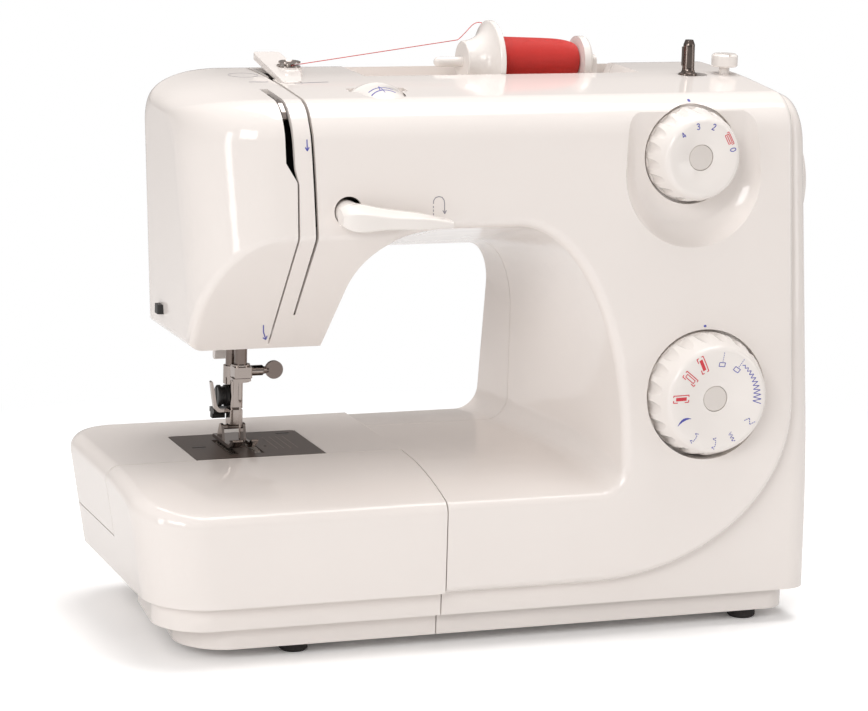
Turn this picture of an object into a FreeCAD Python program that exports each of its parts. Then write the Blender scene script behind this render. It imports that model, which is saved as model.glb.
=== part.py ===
import FreeCAD, Part
import os
from math import acos, cos, pi, radians, sin, sqrt, tan

# A domestic free-arm zigzag sewing machine, in millimetres.
# +X points to the handwheel end, +Y to the back, +Z up; the feet stand on z = 0.
# The origin is under the middle of the machine's box.

# Overall body
WALL = 2.5                  # moulded cover thickness
RUN = 0.3                   # clearance between pieces that move past each other
SHAFT_FIT = 0.05            # radial running clearance of a shaft in its hole
HEAD_LEFT = -151.5          # left end of the sewing head at HEAD_MID
HEAD_MID = 220.0
HEAD_LEAN = 0.07            # the head's left end draws in towards its foot
ARM_END = 148.5             # right edge of the raised front cover
BODY_RIGHT = 161.3          # right end of the side cover at SIDE_MID
SIDE_MID = 140.0
SIDE_LEAN = 0.012           # the right end draws in towards the top
BODY_LEFT = -184.0          # left end of the free arm and the extension table at bed level
END_DRAFT = 0.158           # that end draws in towards the base
FRONT_Y = -76.0             # front wall at bed level
FRONT_LEAN = 0.108          # the front wall leans back above the knee
BACK_Y = 85.0               # rear wall at the lower edge
BACK_TOP_Y = 59.5           # rear wall at the top
KNEE_Z = 80.0               # height where the front wall starts to lean
TOP_Z = 268.3               # top at the rear edge
CROWN = (5.0, 267.5)        # y and z where the top starts to fall to the front
FRONT_TOP_Z = 262.2         # top at the front edge
FRONT_TOP_Y = FRONT_Y + FRONT_LEAN * (FRONT_TOP_Z - KNEE_Z)
COVER_BOTTOM = 29.4         # lower edge of the covers
BAND_Z = 17.2               # boundary of the two stepped base bands
BASE_Z = 6.0                # underside of the base, above the feet
BAND_STEP = 6.2             # inset of each base band
UPPER_BAND_LEFT = -172.5    # left ends of the bands under the table
LOWER_BAND_LEFT = -160.5
SPLIT_Y = 45.0              # parting plane of the front and rear covers

# Sewing bed
BED_Z = 84.6
BED_SEAM_X = -33.0          # right edge of the extension table
BED_SEAM_Y = -7.2           # front edge of the free arm
CROWN_R = 208.0             # the bed falls away to the front on this radius
BED_EDGE_R = 7.0            # rounding of the bed's upper edge
SEAM = 0.6                  # visible gap round the extension table
ARM_STEP_X = -154.0         # left of this the free arm is undercut for the table
ARM_STEP_Z = 50.3
PLATE = (-137.4, -71.6, -6.6, 46.0)
PLATE_THICK = 1.6
PLATE_SCREWS = [(-128.8, 19.5), (-79.4, 40.2)]
PLATE_MARK = (-96.3, 15.1)
HOOK_DOOR = (-150.0, -72.0, 36.0, 76.0)
HOOK_HINGE_Y = BED_SEAM_Y + 1.9

# Throat between arm, head, column and bed
RIDGE_Z = 204.0             # lower edge of the arm's front
CEILING_SLOPE = 0.231       # the throat's ceiling falls to the back
THROAT_LEFT = -79.2         # its left wall at the head's bottom
THROAT_LEAN = 0.121         # and the lean of that wall
CHIN_TOP = (-63.0, 201.0)   # slanted chin of the head, y and z of its upper edge
CHIN_FOOT = (-16.5, 140.5)  # and of its lower edge
HEAD_BOTTOM = CHIN_FOOT[1]

# Thread slots in the head and the strip between them, as (x, z) outlines on the front
LEFT_SLOT = [(-106.6, 100), (-105.6, 100), (-105.6, 226), (-107.4, 233), (-108.2, 247), (-108.6, 258), (-109.0, 300),
             (-113.2, 300), (-112.8, 264), (-112.4, 250), (-112.0, 236), (-106.6, 227)]
RIGHT_SLOT = [(-97.9, 159), (-96.8, 159), (-96.4, 201), (-97.1, 223.5), (-97.8, 239), (-98.7, 254), (-98.2, 300),
              (-99.4, 300), (-100.3, 254), (-99.4, 239), (-98.7, 223.5), (-97.9, 201)]
LEFT_OF_SEAM = [(-300, 100), (-106.6, 100), (-106.6, 166), (-97.9, 166), (-97.9, 201), (-98.7, 223.5),
                (-99.4, 239), (-100.3, 254), (-99.4, 300), (-300, 300)]
TAKE_UP_SLOT_BACK = -18.0   # the left slot ends here on top

# Needle group
NEEDLE_X = -109.5
NEEDLE_Y = 15.0
PRESSER_Y = 30.0
BAR_R = 3.1
BAR_TOP = 238.0
CLAMP_Z = 123.0             # axis of the needle clamp screw
ANKLE_X = (-111.4, -104.9)  # sides of the presser foot holder
ANKLE_SCREW_Z = 107.8
FOOT_PIN = (25.0, 93.0)     # y and z of the pin that the foot snaps on
RELEASE = (31.2, 99.8)      # y and z of the release lever's pivot
LIFTER = (50.0, 153.0)      # y and z of the lifter's pivot
FEED_ROWS = (-116.0, -103.0)

# Shafts and drive
MAIN_Y = 10.0
MAIN_Z = 212.5
LOWER_Y = 12.0
LOWER_Z = 50.0
MAIN_R = 6.0
LOWER_R = 5.0
HOOK_Z = 52.0
BELT_X = 112.0              # plane of the timing belt between the shafts
MOTOR_X = 136.0             # plane of the motor belt
PULLEY_R = 14.0
DRIVE_R = 22.0
MOTOR_R = 6.0
MOTOR_Y = 46.0
MOTOR_Z = 112.0
TAKE_UP = (-27.0, 228.0)    # y and z of the take-up lever's pivot

# Controls on the front
DIAL_SHAFT_R = 4.0
POCKET_GAP = 1.4            # dark ring round each dial
STITCH_DIAL = (95.4, 235.0)     # x and z of the centre
STITCH_DIAL_R = 23.0
STITCH_FACE_R = 18.6
STITCH_POCKET_Y = -49.5     # floor of the dial's pocket
STITCH_FACE_Y = -69.0
SCOOP_X = 94.7
SCOOP_Y = -54.0             # seat of the hollow round the dial
PATTERN_DIAL = (101.0, 119.4)
PATTERN_DIAL_R = 30.3
PATTERN_FACE_R = 25.2
PATTERN_POCKET_Y = -64.0
PATTERN_FACE_Y = -85.0
LEVER_PIVOT = (-82.0, 212.2)
LEVER_HOLE = (-81.7, 213.0)
LEVER_HOLE_R = 7.1
LEVER_HUB_R = 5.9
TENSION_DIAL = (-56.0, -43.0, 249.6)    # front of the wheel
TENSION_DIAL_R = 19.0
TENSION_FRONT_R = 13.9
TENSION_WIDTH = 23.0
PANEL_CORNER = (105.0, 84.0)    # width and height of the panel's swept lower right corner
PANEL_RIM = 3.0
PANEL_EDGE_R = 3.4
RIDGE_R = 5.0               # rounding of the throat's front edge

# Top fittings
SPOOL_Y = 32.0
SPOOL_Z = 271.5
WELL_LEFT = -50.0
WELL_RIGHT = 96.0
WELL_FRONT = 11.2
WELL_BACK = 52.0
WELL_FLOOR = 249.0
PIN_R = 2.5
PIN_TIP = -4.3
CAP_LEFT = 8.1
CAP_RIGHT = 24.2
SPOOL_LEFT = 24.6
SPOOL_RIGHT = 74.1
WOUND_LEFT = 27.4
WOUND_RIGHT = 68.4
STRAND_R = 0.6
TURNS = 23
GUIDE_DISC = (-86.3, 18.6, 271.6)
THREAD_ROUTE = [(-86.3, 15.2, 272.65), (8.8, 38.6, 281.7), (23.5, 44.7, 291.0), (28.9, 39.4, 282.8)]
THREAD_R = 0.25
WINDER_X = 118.3
WINDER_Y = 2.5
STOPPER = (138.7, 3.5)

# Right-hand end and back
INLET = (40.0, 42.0)        # y and z of the power inlet on the side cover
SWITCH = (40.0, 72.0)       # y and z of the power switch
SWITCH_PIVOT_X = 159.7
HANDLE_LEFT = -42.0
HANDLE_RIGHT = 100.0
HANDLE_Y = 70.0
HANDLE_Z = 236.0


def rounded_wire(points, radii):
    """Closed wire through coplanar points, each corner rounded by its radius."""
    edges = []
    starts = []
    ends = []
    count = len(points)
    for i, corner in enumerate(points):
        to_last = (points[i - 1] - corner).normalize()
        to_next = (points[(i + 1) % count] - corner).normalize()
        half = acos(max(-1.0, min(1.0, to_last.dot(to_next)))) / 2
        reach = radii[i] / tan(half)
        starts.append(corner + to_last * reach)
        ends.append(corner + to_next * reach)
        if radii[i] > 0:
            centre = corner + (to_last + to_next).normalize() * (radii[i] / sin(half))
            middle = centre + (corner - centre).normalize() * radii[i]
            edges.append((i, Part.Arc(starts[i], middle, ends[i]).toShape()))
        else:
            edges.append((i, None))
    ordered = []
    for i, arc in edges:
        if arc is not None:
            ordered.append(arc)
        nxt = (i + 1) % count
        if (starts[nxt] - ends[i]).Length > 1e-6:
            ordered.append(Part.LineSegment(ends[i], starts[nxt]).toShape())
    return Part.Wire(ordered)


def prism_x(points, x0, x1, radii=None):
    """Outline given as (y, z) corners, carried from x0 to x1."""
    corners = [FreeCAD.Vector(x0, y, z) for y, z in points]
    wire = rounded_wire(corners, radii or [0] * len(corners))
    return Part.Face(wire).extrude(FreeCAD.Vector(x1 - x0, 0, 0))


def prism_y(points, y0, y1, radii=None):
    """Outline given as (x, z) corners, carried from y0 to y1."""
    corners = [FreeCAD.Vector(x, y0, z) for x, z in points]
    wire = rounded_wire(corners, radii or [0] * len(corners))
    return Part.Face(wire).extrude(FreeCAD.Vector(0, y1 - y0, 0))


def prism_z(points, z0, z1, radii=None):
    """Outline given as (x, y) corners, carried from z0 to z1."""
    corners = [FreeCAD.Vector(x, y, z0) for x, y in points]
    wire = rounded_wire(corners, radii or [0] * len(corners))
    return Part.Face(wire).extrude(FreeCAD.Vector(0, 0, z1 - z0))


def block(x0, x1, y0, y1, z0, z1):
    return Part.makeBox(x1 - x0, y1 - y0, z1 - z0, FreeCAD.Vector(x0, y0, z0))


def rod(start, end, radius):
    a = FreeCAD.Vector(*start)
    way = FreeCAD.Vector(*end) - a
    return Part.makeCylinder(radius, way.Length, a, way)


def turned(profile, origin, axis):
    """Solid of revolution: profile of (radius, distance along the axis) corners."""
    centre = FreeCAD.Vector(*origin)
    along = FreeCAD.Vector(*axis)
    out = FreeCAD.Vector(0, 0, 1) if abs(along.z) < 0.9 else FreeCAD.Vector(1, 0, 0)
    corners = [centre + out * r + along * h for r, h in profile]
    face = Part.Face(Part.makePolygon(corners + corners[:1]))
    return face.revolve(centre, along, 360)


def revolved(runs, origin, axis):
    """Solid of revolution from runs of (radius, distance) points: a run of two points is straight,
    a longer one is a smooth curve through them; each run starts where the last one ended."""
    centre = FreeCAD.Vector(*origin)
    along = FreeCAD.Vector(*axis)
    out = FreeCAD.Vector(0, 0, 1) if abs(along.z) < 0.9 else FreeCAD.Vector(1, 0, 0)
    edges = []
    for run in runs:
        points = [centre + out * r + along * h for r, h in run]
        if len(points) == 2:
            edges.append(Part.makeLine(*points))
        else:
            curve = Part.BSplineCurve()
            curve.interpolate(points)
            edges.append(curve.toShape())
    return Part.Face(Part.Wire(edges)).revolve(centre, along, 360)


def joined(shapes):
    whole = shapes[0]
    for shape in shapes[1:]:
        whole = whole.fuse(shape)
    return whole.removeSplitter()


def largest(shape):
    return max(shape.Solids, key=lambda solid: solid.Volume)


def quarter(start, corner, end, weight=sqrt(0.5)):
    """Quarter ellipse that leaves start and reaches end along the two sides of corner."""
    curve = Part.BezierCurve()
    curve.setPoles([start, corner, end])
    curve.setWeight(2, weight)
    return curve.toShape()


# Casing forms

def top_height(y):
    """Height of the crowned top at depth y, behind its front rounding."""
    if y >= CROWN[0]:
        return CROWN[1] + (y - CROWN[0]) * (TOP_Z - CROWN[1]) / (BACK_TOP_Y - CROWN[0])
    return CROWN[1] + (y - CROWN[0]) * (FRONT_TOP_Z - CROWN[1]) / (FRONT_TOP_Y - CROWN[0])


def body_section(x, front_in, top_in, back_in, bottom, lean=0.0, pivot=0.0):
    """Cross-section of the machine at x, drawn in by the given amounts, in a plane that may lean."""
    slope = (BACK_Y - BACK_TOP_Y) / (TOP_Z - COVER_BOTTOM)
    back = BACK_Y + slope * (COVER_BOTTOM - bottom)
    front_y = FRONT_TOP_Y + front_in
    crown_y = CROWN[0] + 0.3 * front_in - 0.2 * back_in
    outline = [
        (FRONT_Y + front_in, bottom),
        (FRONT_Y + front_in, KNEE_Z),
        (front_y, top_height(front_y) - top_in),
        (crown_y, top_height(crown_y) - top_in),
        (BACK_TOP_Y - back_in, TOP_Z - top_in),
        (back - back_in, bottom),
    ]
    corners = [FreeCAD.Vector(x + lean * (pivot - z), y, z) for y, z in outline]
    return rounded_wire(corners, [0, 500, 20, 600 - 9 * front_in, 14, 0])


def bulged_end(x_end, step, insets, drawn_in, bottom, lean, pivot):
    """Sections from a bulging end at x_end inwards; step is the signed length of the bulge."""
    wires = []
    for degrees in (0, 12, 25, 40, 55, 70, 82, 90):
        turn = radians(degrees)
        share = 1 - sin(turn)
        sides = [inset + share * reach for inset, reach in zip(insets, drawn_in)]
        wires.append(body_section(x_end + step * (1 - cos(turn)), *sides, bottom, lean * cos(turn), pivot))
    return wires


def body_block(inset, front_inset, right, bottom):
    """Solid outer form of head, arm, column and bed, with a bulging left end."""
    bulge = 38.0
    insets = (front_inset, inset, inset)
    wires = bulged_end(HEAD_LEFT + inset, bulge, insets, (46.0, 15.0, 26.0), bottom, HEAD_LEAN, HEAD_MID)
    end = Part.makeLoft(wires, True, False)
    start = HEAD_LEFT + inset + bulge
    return end.fuse(Part.Face(wires[-1]).extrude(FreeCAD.Vector(right - start, 0, 0)))


def side_block(inset, left, bottom):
    """Solid form of the right-hand end, set back from the front cover."""
    bulge = 11.0
    insets = (BAND_STEP + inset, 3 + inset, 3 + inset)
    wires = bulged_end(BODY_RIGHT - inset, -bulge, insets, (9.0, 9.0, 9.0), bottom, SIDE_LEAN, SIDE_MID)
    end = Part.makeLoft(wires, True, False)
    start = BODY_RIGHT - inset - bulge
    return end.fuse(Part.Face(wires[-1]).extrude(FreeCAD.Vector(left - start, 0, 0)))


def bed_height(y):
    """The bed is level over the free arm and falls away in front of it."""
    if y >= BED_SEAM_Y:
        return BED_Z
    return BED_Z - CROWN_R + sqrt(CROWN_R ** 2 - (y - BED_SEAM_Y) ** 2)


def throat_section(y, grow):
    """Opening between head and column at depth y: narrower towards the back."""
    depth = y - FRONT_Y
    ceiling = RIDGE_Z - CEILING_SLOPE * (y - CHIN_TOP[0]) + grow
    floor = bed_height(y) - grow
    right = 58.0 - 0.119 * depth + grow
    bend = ceiling - 27.0
    left = THROAT_LEFT + THROAT_LEAN * (bend - HEAD_BOTTOM) - grow
    foot = THROAT_LEFT + THROAT_LEAN * (floor - HEAD_BOTTOM) - grow
    wide = 57.0 - 0.313 * depth
    tall = 106.0 - 0.571 * depth
    corner = 12.0

    def at(x, z):
        return FreeCAD.Vector(x, y, z)

    edges = [
        Part.makeLine(at(foot, floor), at(right - corner, floor)),
        quarter(at(right - corner, floor), at(right, floor), at(right, floor + corner)),
        Part.makeLine(at(right, floor + corner), at(right, ceiling - tall)),
        quarter(at(right, ceiling - tall), at(right, ceiling), at(right - wide, ceiling)),
        Part.makeLine(at(right - wide, ceiling), at(left + 45, ceiling)),
        quarter(at(left + 45, ceiling), at(left + 3, ceiling), at(left, bend), 0.9),
        Part.makeLine(at(left, bend), at(foot, floor)),
    ]
    return Part.Wire(edges)


def throat(grow):
    depths = (-100, -76, -52, -30, BED_SEAM_Y, 20, 60, 100)
    return Part.makeLoft([throat_section(y, grow) for y in depths], True, False)


def chin_cut(grow):
    """Space in front of the head's slanted chin."""
    (y0, z0), (y1, z1) = CHIN_TOP, CHIN_FOOT
    length = sqrt((y1 - y0) ** 2 + (z1 - z0) ** 2)
    shift = (grow * (z0 - z1) / length, grow * (y1 - y0) / length)
    top = (2 * y0 - y1 + shift[0], 2 * z0 - z1 + shift[1])
    foot = (y1 + shift[0], z1 + shift[1])
    outline = [top, foot, (foot[0], z1 - 60), (-130, z1 - 60), (-130, top[1])]
    return prism_x(outline, -220, -45)


def under_head_cut(grow):
    """Space under the head, with the rounded lower left corner."""
    z = HEAD_BOTTOM + grow
    left = HEAD_LEFT + HEAD_LEAN * (HEAD_MID - z) - 0.4 + grow
    wall = BED_SEAM_X + grow
    outline = [(-260, 0), (wall, 0), (wall, z), (left, z), (left - HEAD_LEAN * (300 - z), 300), (-260, 300)]
    return prism_y(outline, -130, 130, [0, 0, 0, 9 - grow, 0, 0])


def spool_well(grow):
    """Sunk tray on top for the spool, with sloping ends."""
    slope = 10.0
    rim = TOP_Z + 10
    floor = WELL_FLOOR - grow
    reach = slope * (rim - floor) / (TOP_Z - WELL_FLOOR)
    left = WELL_LEFT - grow
    right = WELL_RIGHT + grow
    outline = [(left + slope, floor), (right - slope, floor),
               (right - slope + reach, rim), (left + slope - reach, rim)]
    return prism_y(outline, WELL_FRONT - grow, WELL_BACK + grow, [4, 4, 0, 0])


def dial_scoop(grow):
    """Hollow round the stitch length dial, fading out where the front leans back."""
    x, z = SCOOP_X, STITCH_DIAL[1]
    wires = []
    for depth, half, low in ((0.0, 28.0, 33.0), (3.5, 33.8, 39.0), (7.5, 36.6, 42.6), (14.0, 38.6, 45.6),
                             (24.0, 40.0, 47.5)):
        half += grow
        low += grow
        y = SCOOP_Y + grow - depth
        corners = [FreeCAD.Vector(x - half, y, z + 45), FreeCAD.Vector(x - half, y, z - low),
                   FreeCAD.Vector(x + half, y, z - low), FreeCAD.Vector(x + half, y, z + 45)]
        wires.append(rounded_wire(corners, [5, half - 1, half - 1, 5]))
    return Part.makeLoft(wires, True, False)


def machine_form(inset, right, bottom, front_inset=None):
    if front_inset is None:
        front_inset = inset
    form = body_block(inset, front_inset, right, bottom)
    for space in (throat(inset), chin_cut(inset), under_head_cut(inset), spool_well(inset),
                  dial_scoop(inset)):
        form = form.cut(space)
    return form


def panel(inset):
    """Outline of the raised front cover with its swept lower right corner, as a deep prism."""
    right = ARM_END - inset
    low = COVER_BOTTOM + inset
    wide, tall = PANEL_CORNER

    def at(x, z):
        return FreeCAD.Vector(x, -140, z)

    edges = [
        Part.makeLine(at(-300, low), at(right - wide, low)),
        quarter(at(right - wide, low), at(right, low), at(right, low + tall)),
        Part.makeLine(at(right, low + tall), at(right, 320)),
        Part.makeLine(at(right, 320), at(-300, 320)),
        Part.makeLine(at(-300, 320), at(-300, low)),
    ]
    return Part.Face(Part.Wire(edges)).extrude(FreeCAD.Vector(0, 280, 0))


def front_wall_y(z):
    return FRONT_Y + FRONT_LEAN * max(0.0, z - KNEE_Z)


def soften_ridge(form, radius):
    """Round the edge where the throat and the chin meet the front wall."""
    ridge = []
    for edge in form.Edges:
        first, last = edge.FirstParameter, edge.LastParameter
        spots = [edge.valueAt(first + part * (last - first)) for part in (0.02, 0.5, 0.98)]
        middle = spots[1]
        on_front = all(abs(spot.y - front_wall_y(spot.z)) < 1.0 for spot in spots)
        if on_front and -130 < middle.x < 60 and 71 < middle.z < RIDGE_Z + 1:
            ridge.append(edge)
    ridge = [edge for edge in ridge if edge.BoundBox.XLength > 2 or edge.BoundBox.XMax > 40]
    return form.makeFillet(radius, ridge)


def soften_panel(form, radius):
    """Round the outer edge of the raised front cover, down its right side and along its swept corner."""
    rim = []
    for edge in form.Edges:
        first, last = edge.FirstParameter, edge.LastParameter
        spots = [edge.valueAt(first + part * (last - first)) for part in (0.02, 0.5, 0.98)]
        on_front = all(abs(spot.y - front_wall_y(spot.z)) < 1.0 for spot in spots)
        if on_front and spots[1].x > 40 and min(s.x for s in spots) > 43 and spots[1].z < 235:
            rim.append(edge)
    rim = [edge for edge in rim if abs(edge.BoundBox.XMax - ARM_END) < 0.1]
    return form.makeFillet(radius, rim)


def casing():
    """All the moulded covers of the upper body, parted as they come apart."""
    form = soften_ridge(machine_form(0, ARM_END, COVER_BOTTOM), RIDGE_R)
    form = soften_panel(form.common(panel(0)), PANEL_EDGE_R)
    hollow = machine_form(WALL, ARM_END + 20, 0).common(panel(PANEL_RIM)).cut(dial_bosses())
    deep = machine_form(WALL, ARM_END + 20, 0, BAND_STEP - RUN).cut(dial_bosses())
    shell = form.cut(hollow).cut(deep)
    for opening in shell_openings():
        shell = shell.cut(opening)
    half = 0.2
    front = shell.common(block(-300, 300, -200, SPLIT_Y - half, 0, 400))
    rear = shell.common(block(-300, 300, SPLIT_Y + half, 200, 0, 400))
    face_region = prism_y(LEFT_OF_SEAM, -140, 140)
    face = front.common(face_region)
    front = front.cut(face_region)
    side = side_block(0, BED_SEAM_X, BAND_Z).cut(side_block(WALL, BED_SEAM_X + WALL, 0)).cut(panel(8))
    side = side.cut(block(BED_SEAM_X - 1, BED_SEAM_X + WALL + 0.5, -100, 100, COVER_BOTTOM, 60))
    for opening in side_openings():
        side = side.cut(opening)
    return {
        "front_cover": largest(front),
        "rear_cover": largest(rear.fuse(handle_ears())),
        "face_cover": largest(face.cut(thread_cutter())),
        "side_cover": largest(side),
    }


def dial_bosses():
    """Rings behind the front cover that form the dials' pockets."""
    bosses = []
    for (x, z), radius, floor in ((STITCH_DIAL, STITCH_DIAL_R, STITCH_POCKET_Y),
                                  (PATTERN_DIAL, PATTERN_DIAL_R, PATTERN_POCKET_Y)):
        bosses.append(rod((x, -90, z), (x, floor + 2.0, z), radius + POCKET_GAP + 2.2))
    return bosses[0].fuse(bosses[1])


def shell_openings():
    hole_x, hole_z = LEVER_HOLE
    dial_x, dial_z = STITCH_DIAL
    pattern_x, pattern_z = PATTERN_DIAL
    wheel_x, wheel_y = TENSION_DIAL[:2]
    disc_x, disc_y = GUIDE_DISC[:2]
    slot = [(WINDER_X - 5.1, WINDER_Y - 5.1), (WINDER_X + 10.3, WINDER_Y - 5.1),
            (WINDER_X + 10.3, WINDER_Y + 5.1), (WINDER_X - 5.1, WINDER_Y + 5.1)]
    return [
        prism_y(LEFT_SLOT, -90, TAKE_UP_SLOT_BACK),
        prism_y(RIGHT_SLOT, -90, SPLIT_Y),
        prism_z([(-99.2, 6), (-88, 6), (-86, 14), (-88, 44), (-95.4, 44)], 255, 300),
        block(-122, -83, 3, 72, HEAD_BOTTOM - 5, HEAD_BOTTOM + WALL + 1),
        block(-115, -102, 60, 90, HEAD_BOTTOM - 5, HEAD_BOTTOM + 9),
        block(BED_SEAM_X - 1, BED_SEAM_X + WALL + 1, BED_SEAM_Y + WALL, BACK_Y - WALL, 20, BED_Z - WALL),
        rod((hole_x, -90, hole_z), (hole_x, -50, hole_z), LEVER_HOLE_R),
        rod((dial_x, -100, dial_z), (dial_x, STITCH_POCKET_Y, dial_z), STITCH_DIAL_R + POCKET_GAP),
        rod((dial_x, -90, dial_z), (dial_x, -40, dial_z), DIAL_SHAFT_R + SHAFT_FIT),
        rod((pattern_x, -100, pattern_z), (pattern_x, PATTERN_POCKET_Y, pattern_z),
            PATTERN_DIAL_R + POCKET_GAP),
        rod((pattern_x, -90, pattern_z), (pattern_x, -50, pattern_z), DIAL_SHAFT_R + SHAFT_FIT),
        tension_form(0.6, 0),
        block(wheel_x - 14.6, wheel_x + 14.6, wheel_y + 15.5, wheel_y + TENSION_WIDTH + 0.5, 250, 280),
        prism_z(slot, 258, 280, [5] * 4),
        rod((STOPPER[0], STOPPER[1], 258), (STOPPER[0], STOPPER[1], 280), 2.6),
        rod((disc_x, disc_y, 262), (disc_x, disc_y, 280), 1.5),
    ]


def side_openings():
    inlet_y, inlet_z = INLET
    switch_y, switch_z = SWITCH
    return [
        rod((140, MAIN_Y, MAIN_Z), (200, MAIN_Y, MAIN_Z), 11.0),
        block(150, 170, inlet_y - 12, inlet_y + 12, inlet_z - 8, inlet_z + 8),
        block(150, 170, switch_y - 6, switch_y + 6, switch_z - 10.5, switch_z + 10.5),
        rod((SWITCH_PIVOT_X, switch_y - 8, switch_z), (SWITCH_PIVOT_X, switch_y + 8, switch_z),
            1.0 + SHAFT_FIT),
    ]


def handle_ears():
    """Two pairs of lugs on the rear cover that hold the carrying handle's pins."""
    ears = []
    for x in (HANDLE_LEFT - 5, HANDLE_RIGHT):
        lug = prism_x([(55, HANDLE_Z - 9), (HANDLE_Y + 1, HANDLE_Z - 7), (HANDLE_Y + 7, HANDLE_Z),
                       (HANDLE_Y + 1, HANDLE_Z + 7), (55, HANDLE_Z + 9)], x, x + 5, [0, 4, 4, 4, 0])
        hole = rod((x - 1, HANDLE_Y, HANDLE_Z), (x + 6, HANDLE_Y, HANDLE_Z), 2.5 + SHAFT_FIT)
        ears.append(lug.cut(hole).cut(machine_form_back()))
    return ears[0].fuse(ears[1])


def machine_form_back():
    """Inside of the rear wall, so that the lugs stay outside it."""
    corners = [(0, 150), (BACK_Y - 14, 150), (BACK_TOP_Y - 2, TOP_Z), (0, TOP_Z)]
    return prism_x(corners, -200, 200)


def thread_guide():
    """Raised thread guide on top that overhangs the slot, with the round boss of the tension disc."""
    x, y, z = GUIDE_DISC
    plan = [(-97.4, -6), (-88, -6), (-83.6, 10), (-83.6, 44.5), (-97.2, 44.5)]
    side = [(-6, 266.0), (4, 266.6), (45, 273.2), (45, 276.4), (2, 269.0), (-6, 267.2)]
    finger = prism_z(plan, 255, 290, [3, 4, 5, 3, 3])
    finger = finger.common(prism_x(side, -120, -60, [0, 6, 0.8, 0.8, 20, 0.5]))
    boss = rod((x, y, 262), (x, y, z), 6.2)
    above = rod((x, y, z), (x, y, z + 20), 6.2)
    stud = rod((x, y, 262), (x, y, 268), 1.5)
    under = body_block(0, 0, ARM_END, COVER_BOTTOM)
    whole = joined([finger.cut(above), boss]).cut(under)
    return largest(whole.fuse(stud).cut(rod((x, y, z - 1.6), (x, y, z + 1), 4.0)).removeSplitter())


# Bed, free arm and extension table

def bed_form(inset):
    """Outer form of the bed with its crowned front, its drafted left end and a rounded upper edge."""
    front = FRONT_Y + inset
    back = BACK_Y - inset
    top = BED_Z - inset
    start = FreeCAD.Vector(-300, front, bed_height(FRONT_Y) - inset)
    middle_y = (FRONT_Y + BED_SEAM_Y) / 2
    middle = FreeCAD.Vector(-300, middle_y + inset / 2, bed_height(middle_y) - inset)
    end = FreeCAD.Vector(-300, BED_SEAM_Y, top)
    edges = [
        Part.makeLine(FreeCAD.Vector(-300, front, 0), start),
        Part.Arc(start, middle, end).toShape(),
        Part.makeLine(end, FreeCAD.Vector(-300, back, top)),
        Part.makeLine(FreeCAD.Vector(-300, back, top), FreeCAD.Vector(-300, back, 0)),
        Part.makeLine(FreeCAD.Vector(-300, back, 0), FreeCAD.Vector(-300, front, 0)),
    ]
    slab = Part.Face(Part.Wire(edges)).extrude(FreeCAD.Vector(320, 0, 0))
    wires = []
    for z in (0.0, 100.0):
        left = BODY_LEFT + inset + END_DRAFT * (BED_Z - z)
        corners = [FreeCAD.Vector(left, front, z), FreeCAD.Vector(20, front, z),
                   FreeCAD.Vector(20, back, z), FreeCAD.Vector(left, back, z)]
        wires.append(rounded_wire(corners, [30 - inset, 0, 0, 26 - inset]))
    form = slab.common(Part.makeLoft(wires, True, True))
    rim = []
    for edge in form.Edges:
        box = edge.BoundBox
        on_seam = abs(box.YMin - BED_SEAM_Y) < 0.5 and abs(box.YMax - BED_SEAM_Y) < 0.5
        if box.ZMin > 60 and box.XMin < 10 and not on_seam:
            rim.append(edge)
    return form.makeFillet(BED_EDGE_R - inset, rim)


def needle_plate_outline(grow):
    left, right, front, back = PLATE
    return [(left - grow, front - grow), (right + grow, front - grow),
            (right + grow, back + grow), (left - grow, back + grow)]


def free_arm_cover(outer, inner):
    arm = outer.common(block(-300, BED_SEAM_X, BED_SEAM_Y, 200, COVER_BOTTOM, 200))
    arm = arm.cut(block(-300, ARM_STEP_X, -100, 200, 0, ARM_STEP_Z))
    room = inner.common(block(-300, BED_SEAM_X + 20, BED_SEAM_Y + WALL, 200, 0, 200))
    room = room.cut(block(-300, ARM_STEP_X + WALL, -100, 200, 0, ARM_STEP_Z + WALL))
    arm = arm.cut(room)
    arm = arm.cut(prism_z(needle_plate_outline(0.25), BED_Z - PLATE_THICK, 200))
    arm = arm.cut(block(-132, -77, -3.5, 39, 60, 200))
    for x, y in PLATE_SCREWS:
        arm = arm.cut(rod((x, y, 70), (x, y, BED_Z), 2.0))
    x0, x1, z0, z1 = HOOK_DOOR
    arm = arm.cut(block(x0 - RUN, x1 + RUN, -20, BED_SEAM_Y + WALL + 0.1, z0 - RUN, z1 + RUN))
    arm = arm.cut(rod((x0 - 2, HOOK_HINGE_Y, z0 + 2), (x1 + 2, HOOK_HINGE_Y, z0 + 2), 1.0 + SHAFT_FIT))
    return largest(arm)


def hook_cover():
    x0, x1, z0, z1 = HOOK_DOOR
    door = block(x0, x1, BED_SEAM_Y, BED_SEAM_Y + WALL, z0 + 4, z1)
    barrel = rod((x0, HOOK_HINGE_Y, z0 + 2), (x1, HOOK_HINGE_Y, z0 + 2), 1.9)
    rib = block(x0, x1, BED_SEAM_Y, BED_SEAM_Y + WALL, z0 + 2, z0 + 4)
    pull = block(-118, -104, BED_SEAM_Y + WALL, BED_SEAM_Y + WALL + 2, z1 - 8, z1 - 2)
    pins = rod((x0 - 1.8, HOOK_HINGE_Y, z0 + 2), (x1 + 1.8, HOOK_HINGE_Y, z0 + 2), 1.0)
    return joined([door, rib, barrel, pull, pins])


def band_outline(left, front):
    """Plan of a base band under the front part of the table."""
    right = BED_SEAM_X - SEAM
    back = BED_SEAM_Y - SEAM
    return [(left, front), (right, front), (right, back), (left + 6, back)]


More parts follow.
